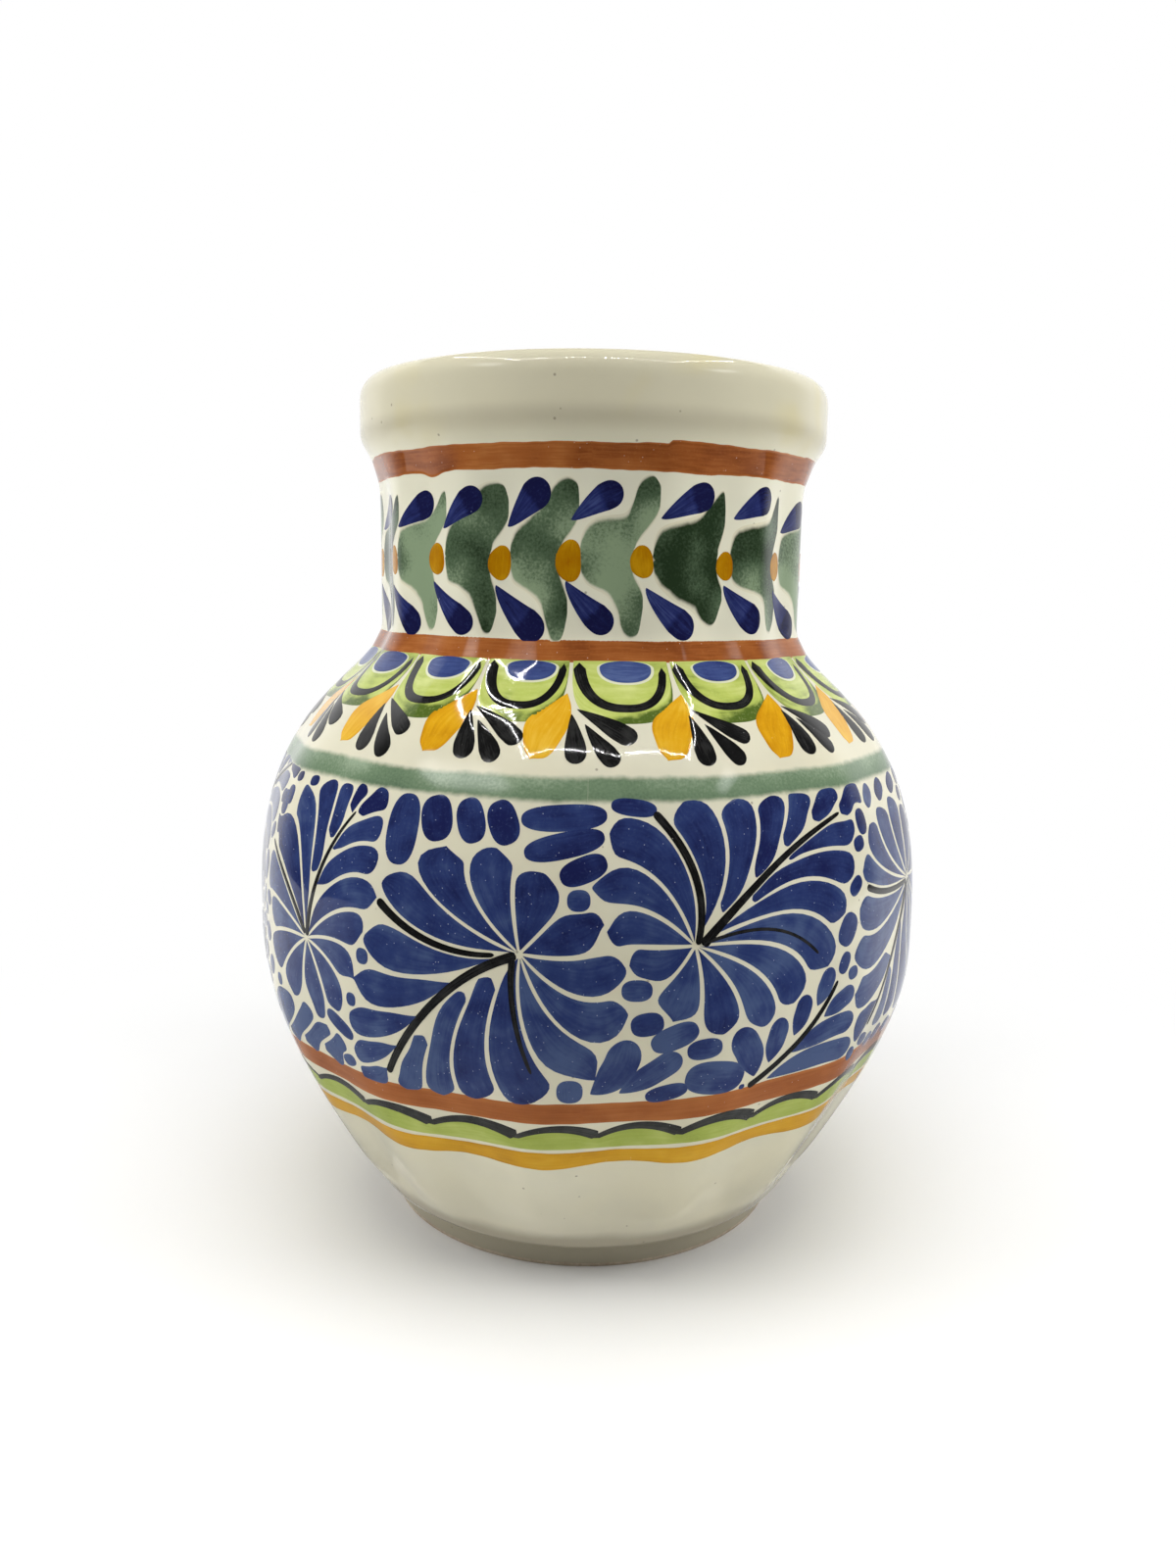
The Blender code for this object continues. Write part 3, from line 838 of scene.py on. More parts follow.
def bandPiece(name, look, seed):
    # ring on the wall between two wavy borders, crowned across and closed underneath
    columns, lanes = bandGrid["columns"], bandGrid["lanes"]
    phi = np.arange(columns) * fullTurn / columns
    upper, lower = (border[:, None] for border in bandBorders(phi, look, seed))
    across = np.linspace(0, 1, lanes + 1)
    run = np.concatenate([upper * (1 - across) + lower * across, lower, upper], 1)
    side = np.concatenate([2 * across - 1, [1, -1]])
    lift = np.append(crowned(2 * across - 1, bandGrid["lift"]), [-hiddenDepth, -hiddenDepth])
    points = onWall(np.broadcast_to(phi[:, None], run.shape), run, np.broadcast_to(lift, run.shape))
    size = run.shape[1]
    quads = gridQuads(np.pad(numbered(*run.shape), (0, 1), mode="wrap"))
    turn = np.repeat(phi / fullTurn, size)
    values = dict(along=turn, across=np.tile(side, columns), tone=np.full(run.size, 0.5))
    shares = [np.arange(count + 1) / count for count in (columns, size)]
    sheet = np.stack(np.meshgrid(*shares, indexing="ij"), -1).reshape(-1, 2)
    spots = sheetSpots([sheet[gridQuads(numbered(columns + 1, size + 1))]])
    paint = look["paint"]
    return settle(name, points, quads.tolist(), paintFor(name, paint), values, spots)


# Garland round the neck: dots, drops above and below, and a fish-tailed leaf between two dots
garland = dict(
    front=[-61.0, -41.4, -22.6, -5.2, 11.7, 34.2, 54.4], count=19, stride=5, middle=57.8, seed=3,
    # half widths and heights of the front dots; share and power of a dot's two halves, and its round ends
    dotHalf=[3.0, 3.6, 3.35, 3.4, 3.0, 2.7, 2.9], dotTall=[8.0, 8.4, 8.8, 10.6, 8.2, 7.4, 7.8],
    dotSides=[(0.94, 0.75), (1.10, 1.45)], dotEnds=(0.5, 0.42), dotSway=0.7, dotShift=0.5, dotLeast=0.03,
    # drops at the front dots: tail (angle, run), end of the head (angle, run), half width
    upper=[(-57.7, 48.4, -42.8, 42.2, 3.7), (-38.8, 49.3, -27.0, 40.8, 3.5), (-20.5, 49.1, -10.0, 38.6, 4.0),
           (-4.8, 47.4, 7.2, 39.7, 3.5), (16.1, 46.6, 30.7, 39.9, 3.7), (36.6, 45.8, 50.2, 39.9, 3.7)],
    lower=[(-61.5, 64.3, -49.0, 76.6, 3.7), (-43.0, 63.2, -29.7, 75.6, 3.6), (-23.4, 64.0, -11.5, 77.2, 4.1),
           (-5.8, 62.7, 4.9, 75.0, 3.6), (13.0, 64.1, 25.1, 76.0, 3.7), (34.4, 63.2, 46.2, 74.4, 3.9)],
    dropTails=(0.90, 0.55), bend=0.9, dotSteps=21, dropSteps=25,
)


def garlandUnits():
    # angle of each dot, and the way in millimetres to the next
    places = spread(garland["front"], garland["count"])
    gaps = np.diff(np.append(places, places[0] + 360)) * deg * wall["neckRadius"]
    return places, gaps


def frontUnit(count):  # which of the front units each dot repeats: its own, or one by a stride round the back
    order = np.arange(garland["count"])
    return np.where(order < count, order, garland["stride"] * order % count)


def carried(rows):
    # rows of places drawn at the front dots, repeated at the other dots and stretched to their gaps
    places, gaps = garlandUnits()
    made = []
    for gap, first in zip(gaps, frontUnit(len(rows))):
        spots = np.array(rows[first], float)
        spots[:, 0] = (spots[:, 0] - places[first]) * gap / gaps[first]
        made.append(spots * (wall["neckRadius"] * deg, 1))
    return made


def garlandDots():
    # upright ovals on a slightly bent line: the round ends' width, to a power on either side
    places = garlandUnits()[0]
    rng = np.random.default_rng(garland["seed"])
    count = len(places)
    tall, wide = (np.resize(garland[key], count)[:, None] for key in ("dotTall", "dotHalf"))
    sway = rng.uniform(-garland["dotSway"], garland["dotSway"], count)
    level = garland["middle"] + rng.uniform(-garland["dotShift"], garland["dotShift"], count)
    reach = tall[:, 0] / 2
    bow = rng.uniform(-garland["dotShift"], garland["dotShift"], count)
    line = [np.stack(spot, 1) for spot in ((sway, level - reach), (bow, level), (-sway, level + reach))]
    spine = quadRoute(*line, garland["dotSteps"])
    startRound, endRound = (tall * share for share in garland["dotEnds"])
    oval = lineHalves(spine, 1.0, startRound, endRound, 0.0)
    halves = [wide * rng.uniform(0.95, 1.05, (count, 1)) * share * oval ** power + garland["dotLeast"]
              for share, power in garland["dotSides"]]
    borders = atPlaces(bordersOf(spine, *halves), places)
    paintedStrokes("garland_dots", borders, rng.uniform(0, 1, count), (0.02, 0.09), "amber")


def garlandDrops():
    # drops above and below, bent away from the dots
    places = garlandUnits()[0]
    rng = np.random.default_rng(garland["seed"] + 1)
    sets = []
    for key, bend in (("upper", -garland["bend"]), ("lower", garland["bend"])):
        rows = garland[key]
        ends = np.array(carried([(row[:2], row[2:4]) for row in rows]))
        half = np.array([row[4] for row in rows])[frontUnit(len(rows))][:, None]
        spine = quadRoute(ends[:, 0], ends.mean(1) + (0, bend), ends[:, 1], garland["dropSteps"])
        halves = [dropHalves(spine, half, tail) for tail in garland["dropTails"]]
        sets.append(atPlaces(bordersOf(spine, *halves), places))
    borders = joined(sets)
    paintedStrokes("garland_drops", borders, rng.uniform(0, 1, len(borders[0])), (0.035, 0.09), "navy")


# Front leaves one by one: upper edge from the left end to the upper tip, notch at the next dot, and lower
# edge from the left end to the lower tip, all as (angle, run)
leafShape = dict(
    front=[
        ([(-58.4, 56.9), (-58.2, 52.7), (-56.9, 49.3), (-50.8, 47.7), (-45.8, 46.9), (-41.9, 44.4),
          (-39.5, 40.7), (-37.8, 39.7), (-37.5, 42.5)],
         (-43.8, 57.2),
         [(-58.2, 60.4), (-56.9, 63.1), (-51.9, 64.9), (-48.8, 68), (-46.8, 73.6), (-45.2, 76.2),
          (-43.1, 76.2), (-41.5, 71.1)]),
        ([(-38.2, 56.7), (-38, 52.7), (-37, 49.3), (-33.6, 46), (-29.5, 41.1), (-26.4, 38.8), (-23.2, 38.1),
          (-21.1, 38.8), (-20.2, 42.5)],
         (-25.1, 57.7),
         [(-38, 59.6), (-37.4, 63.2), (-33.6, 64), (-30.5, 66.6), (-28.5, 71.1), (-26.9, 76.4),
          (-24.8, 76.7), (-23.3, 71.1)]),
        ([(-20, 57.1), (-19.8, 53.2), (-18.9, 50.7), (-17.3, 48.8), (-13.2, 45.1), (-10.2, 41.6),
          (-8.1, 38.3), (-5.5, 36.9), (-3.2, 38.1), (-3, 41.9)],
         (-7.6, 57.7),
         [(-19.9, 60), (-19.3, 62.9), (-15.2, 64.9), (-12.2, 67.7), (-10.7, 73.2), (-9.1, 78.1),
          (-6.6, 78.1), (-5.4, 71.1)]),
        ([(-2.9, 57.1), (-2.7, 52.7), (-1.6, 49.3), (1.2, 47.1), (5.1, 46.7), (8.2, 46.4), (9.7, 43),
          (10.7, 38.6), (12.4, 36.6), (14.4, 35.9), (15.9, 38.6)],
         (9.4, 57.5),
         [(-2.8, 60), (-1, 63.3), (4.1, 65.4), (6.1, 69.4), (7.3, 74.9), (9.2, 77.1), (11.4, 76.4),
          (12.3, 69.4)]),
        ([(14.2, 57.1), (14.5, 52.7), (15.5, 49.9), (17.7, 48.6), (21.4, 47.7), (26.5, 46.2), (30, 42.8),
          (32.6, 39.4), (33.7, 39), (34.2, 43.5)],
         (32.1, 57.7),
         [(14.4, 60.4), (15.9, 63.3), (19.3, 66.6), (24.4, 68.8), (27.7, 72.1), (30.1, 73.8), (32, 73.2),
          (33.9, 67.3)]),
        ([(35.7, 57.1), (35.8, 53.2), (36.6, 49.9), (39.2, 48.2), (45.4, 47.2), (50.2, 46.2), (52.9, 42.4),
          (54.4, 39.0), (55.6, 39.4), (55.7, 43.6)],
         (52.4, 57.5),
         [(35.8, 60), (37.1, 62.8), (41.1, 64.3), (45.4, 64.9), (48, 67.1), (49.2, 71.6), (50.3, 75.3),
          (52.6, 76.2), (54.8, 73), (55.2, 67.3)]),
    ],
    tones=[0.30, 0.78, 0.64, 0.42, 1.0, 0.95], otherTones=(0.2, 0.9), seed=5, fuller=0.8,
    steps=41, lanes=14, notchAt=0.55, turnOut=(0.03, 0.75), tailFrom=(0.50, 0.66),
)


def smoothEdge(corners):
    # an edge through a few corners, rounded by averaging each point with its neighbours
    corners = np.array(corners)
    share = np.linspace(0, len(corners) - 1, leafShape["steps"])
    edge = [np.interp(share, np.arange(len(corners)), corners[:, axis]) for axis in (0, 1)]
    return evened(np.array(edge), 3).T


def garlandLeaves():
    # soft leaves in two halves: rows from the outer edge of a half to its inner border, which runs along
    # the middle of the leaf to the notch and then out to the tip as a smooth step
    places = garlandUnits()[0]
    count, front, notchAt = len(places), leafShape["front"], leafShape["notchAt"]
    rng = np.random.default_rng(leafShape["seed"])
    tones = rng.uniform(*leafShape["otherTones"], count)
    tones[:len(front)] = leafShape["tones"]
    share = np.linspace(0, 1, leafShape["steps"])
    toNotch = (share / notchAt).clip(0, 1)[:, None]
    toTip = ((share - notchAt) / (1 - notchAt)).clip(0, 1)
    turnOut = np.stack([smoothStep(toTip, *leafShape["turnOut"]), toTip], 1)
    notch = np.array(carried([[leaf[1]] for leaf in front]))
    upper = np.array([smoothEdge(edge) for edge in carried([leaf[0] for leaf in front])])
    lower = np.array([smoothEdge(edge) for edge in carried([[leaf[0][0]] + leaf[2] for leaf in front])])
    fuller = leafShape["fuller"] * np.sin(np.pi * share)
    upper[..., 1] -= fuller
    lower[..., 1] += fuller
    inner = [edge[:, :1] + (notch - edge[:, :1]) * toNotch + (edge[:, -1:] - notch) * turnOut
             for edge in (upper, lower)]
    borders = joined([(upper, inner[0]), (inner[1], lower)])
    tail = smoothStep(share, *leafShape["tailFrom"])
    sides = np.repeat([[-1.0 + 0 * tail, -tail], [tail, 1.0 + 0 * tail]], count, 1)
    borders = atPlaces(borders, np.tile(places, 2))
    paintedStrokes("garland_leaves", borders, np.tile(tones, 2), (0.02, 0.03), "sage",
                   lanes=leafShape["lanes"], under=leafShape["lanes"], sides=sides)


# Scallops under the neck band, with petals and fans between them
scallops = dict(
    meets=[-66.5, -45.2, -23.7, -4.0, 17.5, 39.0, 60.8], count=17, radius=66.0, steps=37, lanes=18, seed=21,
    top=83.4, depth=20.4, limeGap=0.45, limePower=3.0,
    eyeLevel=85.6, eyeWide=6.8, eyeTall=3.5, eyeAbove=0.60, eyeBelow=1.36, eyeShift=1.0, eyePower=2.2,
    halo=0.7, lineShare=0.85, lineTop=83.9, lineDepth=14.3, lineThick=1.6, lineThin=0.95, linePower=0.80,
    lineSag=(0.2, 2.0), lineEnds=(0.9, 1.3),
)


def scallopUnits():
    # angle where each scallop starts, angle of its middle, and half its width in millimetres at its top
    meets = spread(scallops["meets"], scallops["count"])
    half = np.diff(np.append(meets, meets[0] + 360)) / 2
    return meets, meets + half, half * deg * scallops["radius"]


def bowlPiece(name, wide, rise, depth, level, places, power, tone, lift, paint):
    # rounded shape about a level line: above it by rise and below it by depth, each times a superellipse
    share = -np.cos(np.pi * np.linspace(0, 1, scallops["steps"]))
    arc = (1 - np.abs(share) ** power) ** (1 / power)
    turn = places[:, None] * deg + share * wide[:, None] / scallops["radius"]
    borders = [np.stack([turn, level + reach[:, None] * arc], -1) for reach in (-rise, depth)]
    paintedStrokes(name, borders, tone, lift, paint, lanes=scallops["lanes"], under=scallops["lanes"])


def scallopPieces():
    # lime bowls, and on each a pale halo and a blue eye
    places, wide = scallopUnits()[1:]
    rng = np.random.default_rng(scallops["seed"])
    count, halo = len(places), scallops["halo"]
    tone = rng.uniform(0, 1, count)
    depth = scallops["depth"] + rng.uniform(-0.6, 0.6, count)
    bowlPiece("scallop_lime", wide - scallops["limeGap"], 0 * depth, depth, scallops["top"], places,
              scallops["limePower"], tone, (0.02, 0.04), "lime")
    eye = scallops["eyeWide"] * rng.uniform(0.93, 1.07, count)
    tall = scallops["eyeTall"] * rng.uniform(0.92, 1.08, count)
    above, below = tall * scallops["eyeAbove"], tall * scallops["eyeBelow"]
    at = (scallops["eyeLevel"], places + scallops["eyeShift"], scallops["eyePower"], tone)
    bowlPiece("scallop_halos", eye + halo, above, below + halo, *at, (0.060, 0.070), "halo")
    bowlPiece("scallop_eyes", eye, above, below, *at, (0.085, 0.105), "eye")


def scallopLines():
    # one dark line along each scallop: a rounded U, thick at its left end
    places, wide = scallopUnits()[1:]
    rng = np.random.default_rng(scallops["seed"] + 1)
    share = np.linspace(0.0, 1.0, scallops["steps"])
    turn = share * np.pi
    power = scallops["linePower"]
    across = -np.sign(np.cos(turn)) * np.abs(np.cos(turn)) ** power * wide[:, None] * scallops["lineShare"]
    run = scallops["lineTop"] + scallops["lineDepth"] * np.sin(turn) ** power
    run = run + share * rng.uniform(*scallops["lineSag"], (len(places), 1))
    spine = np.stack([across, run], -1)
    half = scallops["lineThick"] + (scallops["lineThin"] - scallops["lineThick"]) * share
    half = lineHalves(spine, half, *scallops["lineEnds"])
    borders = atPlaces(bordersOf(spine, half, half), places)
    paintedStrokes("scallop_lines", borders, rng.uniform(0, 1, len(places)), (0.055, 0.09), "black", lanes=4)


# Petals and fans where two scallops meet: (millimetres from the meeting place, run)
fans = dict(
    petal=[(0.3, 94.4), (-3.6, 104.6), (-7.6, 114.6)], petalHalf=5.5, petalTip=2.0, petalSteps=29, seed=31,
    petalAt=[0.0, 0.15, 0.35, 0.50, 0.64, 0.80, 0.92, 1.0],
    petalLeft=[0.0, 0.32, 0.74, 1.00, 1.00, 0.70, 0.44, 0.0],
    petalRight=[0.0, 0.44, 0.78, 0.84, 0.82, 0.78, 0.60, 0.0],
    drops=[((1.2, 100.8), (3.4, 115.6), 2.7), ((4.6, 103.8), (13.2, 115.6), 2.5),
           ((2.2, 99.2), (17.0, 109.2), 2.6)],
    dropTail=0.80, dropSteps=17, tailSway=0.3, headSway=0.8, bow=0.5,
)


def shoulderFans():
    # at every place where two scallops meet: one ochre petal to the left, three dark drops to the right
    meet = scallopUnits()[0]
    rng = np.random.default_rng(fans["seed"])
    count = len(meet)
    shift = rng.uniform(-0.7, 0.7, (count, 2))
    spine = quadRoute(*(np.array(place) + shift for place in fans["petal"]), fans["petalSteps"])
    along, length = runShare(spine)
    halves = []
    for key in ("petalLeft", "petalRight"):
        half = evened(fans["petalHalf"] * np.interp(along / length, fans["petalAt"], fans[key]), 1)
        half = half * roundedEnd(length - along, fans["petalTip"]) * rng.uniform(0.92, 1.08, (count, 1))
        halves.append(np.maximum(half, thinnest))
    borders = atPlaces(bordersOf(spine, halves[1], halves[0]), meet)
    paintedStrokes("shoulder_petals", borders, rng.uniform(0, 1, count), (0.03, 0.065), "ochre")
    sets = []
    for tail, head, size in fans["drops"]:
        sway = rng.uniform(-fans["headSway"], fans["headSway"], (count, 2))
        start, end = tail + sway * fans["tailSway"], head + sway
        middle = (start + end) / 2 + rng.uniform(-fans["bow"], fans["bow"], (count, 2))
        spine = quadRoute(start, middle, end, fans["dropSteps"])
        half = dropHalves(spine, size * rng.uniform(0.9, 1.1, (count, 1)), fans["dropTail"])
        sets.append(atPlaces(bordersOf(spine, half, half), meet))
    borders = joined(sets)
    tone = rng.uniform(0, 1, len(borders[0]))
    paintedStrokes("shoulder_fans", borders, tone, (0.04, 0.075), "black", lanes=5)


# Plumes on the belly. Places are (angle in degrees, run in millimetres): a petal is the middle and the tip of
# its brush stroke from the middle of the whorl, a leaflet also gives its root on a stem, a stem or vein ends
# with its two half widths, and a dab (two ends) or a loose leaf (root, middle, tip) with its half width.
fountainLeft = dict(
    centre=(-47.5, 168.0),
    petals=[(-54, 145, -61.4, 140.5), (-49, 141, -54.4, 131.5), (-39.5, 154, -31.2, 152),
            (-40, 162, -33.6, 161.5), (-40, 169.5, -35, 175), (-42, 175.5, -39.5, 184.8),
            (-45.8, 180, -44.3, 189.3), (-51, 177, -52, 186.3), (-54, 172, -58.7, 177.5),
            (-55, 165, -59.8, 165.8), (-56, 157.5, -62.5, 154)],
    leaflets=[(-46.5, 150, -45.7, 138, -47.3, 125.6), (-43, 140, -42, 132.5, -41.5, 125.4),
              (-38.8, 132.5, -38.3, 128.5, -37, 125.4), (-37.5, 132, -34.5, 128.5, -32, 126.5),
              (-42, 142.5, -37, 136.5, -31.8, 135), (-45, 153, -38.5, 144.5, -31.8, 144),
              (-64, 200, -58, 196.5, -53.5, 187), (-58, 201, -52, 195, -48.3, 187.5),
              (-52.5, 201, -47.5, 196, -43.5, 191), (-46.5, 200.5, -43, 197.5, -39.5, 193.5)],
    stems=[(-47.3, 167.5, -44.3, 148.5, -38, 132, 1.0, 0.35),
           (-47.8, 167, -54, 155, -61.5, 146, 0.8, 0.5)],
    veins=[],
    leaves=[],
    dabs=[(-42.6, 186.2, -36.6, 191, 2.4), (-41, 200.5, -37.6, 198.3, 1.9), (-37.2, 180, -35.2, 180, 1.8),
          (-58.3, 129.5, -58.3, 135, 2.4), (-57, 125.2, -56.6, 128, 2.0),
          (-51.8, 125.2, -51.6, 128.2, 2.2), (-58, 184, -56.2, 184, 1.8)],
)
pinwheel = dict(
    centre=(-9.0, 161.6),
    petals=[(-20.5, 156, -30.4, 147.6), (-19, 149.5, -20.7, 137.4), (-13.2, 148, -12.8, 136.8),
            (-7.3, 150, -6.4, 141.8), (-2.5, 157.5, 2.5, 154), (-1, 167, 5.5, 164.5), (-2, 176, 6, 176),
            (-5.5, 180, 1.7, 193.6), (-10.7, 183, -7, 200.5), (-23, 166, -33.2, 162)],
    leaflets=[(-13, 168, -16.8, 186, -15.8, 202), (-17, 172.5, -21.2, 188, -21.7, 203),
              (-23.4, 185.5, -26, 194, -27.9, 203), (-18.5, 170.5, -27, 175.6, -35.8, 174),
              (-23.5, 180, -30, 185, -36.8, 184.5), (-27, 188.5, -32, 193.5, -37, 195),
              (-30, 196.5, -33, 200.5, -36.5, 203)],
    stems=[(-12.5, 162.3, -22.2, 161, -31, 152.4, 0.5, 1.2),
           (-9.4, 162, -20.7, 174.6, -30.4, 198.5, 1.25, 0.9)],
    veins=[(-9.9, 163.0, -9.7, 176.5, -7.3, 192, 1.0, 0.35)],
    leaves=[(5.2, 197.8, 10.0, 191.9, 13.6, 187.0, 3.3), (1.0, 197.8, 4.6, 191.5, 6.0, 182.6, 4.4)],
    dabs=[(-28.2, 125.3, -28.3, 143.2, 4.6), (-23.8, 125.2, -22, 136.4, 4.4),
          (-18.5, 125.3, -16.2, 136, 3.9), (-13.6, 125.4, -10.9, 135.6, 4.0),
          (-9.6, 129.4, 2.9, 128.2, 3.3), (-8.8, 137.6, 2.5, 133.2, 3.2), (-3.6, 143.4, 2.8, 139, 3.2),
          (-2.6, 148.4, 0.6, 148.3, 2.6), (3.5, 125.6, 10.3, 127, 2.2), (5.0, 170.2, 9.3, 170.3, 2.7),
          (6.4, 179.4, 11, 178.2, 3.0), (9.4, 184.7, 15.9, 180, 3.2), (14.5, 186.4, 19.7, 185.5, 2.8),
          (14.6, 193.6, 24, 195.8, 5.0), (9.1, 199.5, 15.1, 196.6, 2.5), (-1.9, 193.6, -2, 200.6, 3.3),
          (-34.9, 167.7, -32.6, 167.7, 2.1)],
)
fountainRight = dict(
    centre=(15.2, 159.5),
    petals=[(11, 140.5, 3.2, 132.5), (8.5, 146.5, 0.8, 145.5), (8.5, 155, 2.9, 155.8),
            (10.5, 163.5, 6, 164), (14, 170.5, 12.2, 178.2), (18.8, 171.5, 19.5, 182.5),
            (23.3, 170, 26.5, 182.3), (27, 166, 31.5, 177.8), (30.5, 158, 38, 170),
            (31, 149.8, 41.5, 157), (17.9, 140, 14.3, 124.8)],
    leaflets=[(24, 150, 34, 143, 44, 147.5), (31, 141, 38.5, 136, 46, 136),
              (19.2, 152, 23, 138, 22.3, 124.8), (24.8, 144.5, 28.9, 134.5, 29.3, 124.8),
              (30.6, 137.5, 34.6, 131, 36.5, 125.2), (37, 132, 40, 128.7, 43.5, 125.4),
              (43.3, 131.5, 46.5, 128, 50.5, 125.5)],
    stems=[(15.5, 159.4, 15.3, 143, 9.9, 127.5, 0.8, 1.1),
           (16.2, 159.6, 28, 142.5, 42.8, 131.2, 1.35, 0.4),
           (25.3, 199.5, 33.4, 189, 40.3, 174.5, 1.2, 0.5)],
    veins=[(16.2, 159.2, 27.2, 157.6, 36, 166, 0.45, 0.4)],
    leaves=[(36.3, 180, 37.8, 175, 39, 170.6, 2.6), (32.3, 186.8, 33.4, 181.5, 34.2, 176.3, 2.7),
            (28.3, 193.2, 29, 187, 29.8, 181, 3.1), (26, 196.5, 24.5, 189, 21.8, 182.3, 4.0),
            (37.9, 183.5, 41, 180.5, 44.4, 178.5, 2.7), (32.5, 191.8, 39, 187.5, 45, 187.5, 3.2),
            (28.8, 198.5, 37.5, 195, 46, 196, 3.5)],
    dabs=[(48.3, 131.3, 48.6, 138.3, 2.8), (45, 140.8, 48, 139.6, 2.0), (43, 152.5, 45.9, 149, 2.1),
          (41, 165.5, 43.5, 157.6, 3.4), (41, 173, 42.4, 167.5, 2.0), (42.7, 174, 45, 173.3, 1.8),
          (23.6, 199, 24.6, 199, 0.8)],
)
pinwheelRight = dict(
    centre=(65.6, 155.6),
    petals=[(54, 152, 46.6, 147.5), (55.5, 147.5, 51.5, 136.3), (58.7, 144.5, 57.5, 133.2),
            (63.3, 142, 64.5, 132.6), (53.5, 160.5, 45.2, 157), (52.8, 168.5, 44.4, 167.8)],
    leaflets=[(57.5, 175, 50, 180.5, 44.6, 180), (54, 184.5, 50, 188.8, 46, 190),
              (62, 166, 60.5, 181, 61, 194.5), (57.5, 178, 57, 187, 56.8, 195)],
    stems=[(64.6, 156, 55, 155.6, 47.6, 152, 0.6, 1.0), (65, 156.5, 58.5, 174, 51, 192, 1.1, 0.6)],
    veins=[],
    leaves=[],
    dabs=[(51.8, 131.4, 55, 126.4, 2.5), (57.4, 130.6, 61, 126.2, 2.5), (63.6, 129.8, 67.6, 126, 2.4),
          (49, 195.4, 52.5, 197.2, 2.0)],
)
plumes = dict(
    groupStarts=[(-47.5, 1.0), (136.0, 0.962)],  # where each round of whorls starts, and its width
    pairShift=(74.7, -6.7),  # from the front pinwheel and fountain to the next pair
    rightPetals=slice(3, 9), rightFrom=-9, skipped=(130, 140), upperTo=140, lowestFrom=190,
    gap=0.85, stemGap=0.60, widest=8.0, reaches=37, near=9, top=124.4, topGap=0.6, bottom=202.0, slant=2.2,
    steps=22, samples=26, rootAway=1.0, rootStretch=1.75, rootHalf=0.3, rootWiden=1.3, sweeps=5,
    blunt=(1.2, 4.4), bluntAt=slice(-7, -3), bluntShare=0.42, endPower=2.5,
    tone=0.85, toneFall=0.6, toneRuns=(125, 75), toneSpread=0.25, seed=17,
    # dabs in open places
    fillFrom=2.9, fillMost=3.2, fillCount=90, fillGap=0.68, fillMargin=2.5, fillStep=1.0, fillBlock=10,
    fillNear=12, fillHalf=0.8, fillTurn=2.4, fillLeast=0.04,
)
bellyTurn = fullTurn * wall["bellyRadius"]


def threePoints(rows, move):  # root, middle and tip of each row, moved, and what the row gives after them
    return [(np.array(row[:6], float).reshape(3, 2) + move, row[6:]) for row in rows]


def plumeRows():
    # every stroke as (root, middle, tip) with its widths, by kind, for one round of whorls
    shift = np.array(plumes["pairShift"])
    low, high = plumes["skipped"]
    rightHalf = dict(
        pinwheel, petals=pinwheel["petals"][plumes["rightPetals"]], leaflets=[], stems=[], veins=[],
        dabs=[dab for dab in pinwheel["dabs"] if dab[0] > plumes["rightFrom"] and not low < dab[1] < high])
    whorls = [(whorl, 0 * shift) for whorl in (fountainLeft, pinwheel, fountainRight, pinwheelRight)]
    kinds = dict(petals=[], stems=[], veins=[], dabs=[], leaves=[])
    for whorl, move in whorls + [(rightHalf, shift), (fountainRight, shift)]:
        flat = move * (1, 0)  # strokes on the lowest row stay on it
        centre = np.array(whorl["centre"])
        for row in whorl["petals"]:
            middle, tip = np.array(row[:2]), np.array(row[2:])
            aim = (middle - centre) * (plumes["rootStretch"], 1.0)
            root = centre + (middle - centre) * plumes["rootAway"] / np.linalg.norm(aim)
            kinds["petals"].append((np.stack([root, middle, tip]) + move, ()))
        kinds["petals"] += threePoints(whorl["leaflets"], move)
        for key in ("stems", "veins"):
            for row in whorl[key]:
                kinds[key] += threePoints([row], move if row[1] < plumes["lowestFrom"] else flat)
        kinds["leaves"] += threePoints(whorl["leaves"], flat)
        for row in whorl["dabs"]:
            free = plumes["upperTo"] < row[1] < plumes["lowestFrom"]
            ends = np.array(row[:4], float).reshape(2, 2) + (move if free else flat)
            kinds["dabs"].append((np.stack([ends[0], ends.mean(0), ends[1]]), row[4:]))
    return {key: (twoRounds([row for row, widths in rows]), np.tile([widths for row, widths in rows], (2, 1)))
            for key, rows in kinds.items()}


def twoRounds(rows):
    # repeats rows of places for each round of whorls, and turns degrees into belly millimetres
    first = plumes["groupStarts"][0][0]
    sets = []
    for start, width in plumes["groupStarts"]:
        moved = np.array(rows, float)
        moved[..., 0] = (start + (moved[..., 0] - first) * width) * deg * wall["bellyRadius"]
        moved[..., 1] = np.maximum(moved[..., 1], plumes["top"] + plumes["topGap"])
        sets.append(moved)
    return np.concatenate(sets)


def threeTurns(points):  # the points, and again one turn to either side
    step = np.eye(points.shape[1])[0] * bellyTurn
    return np.concatenate([points - step, points, points + step])


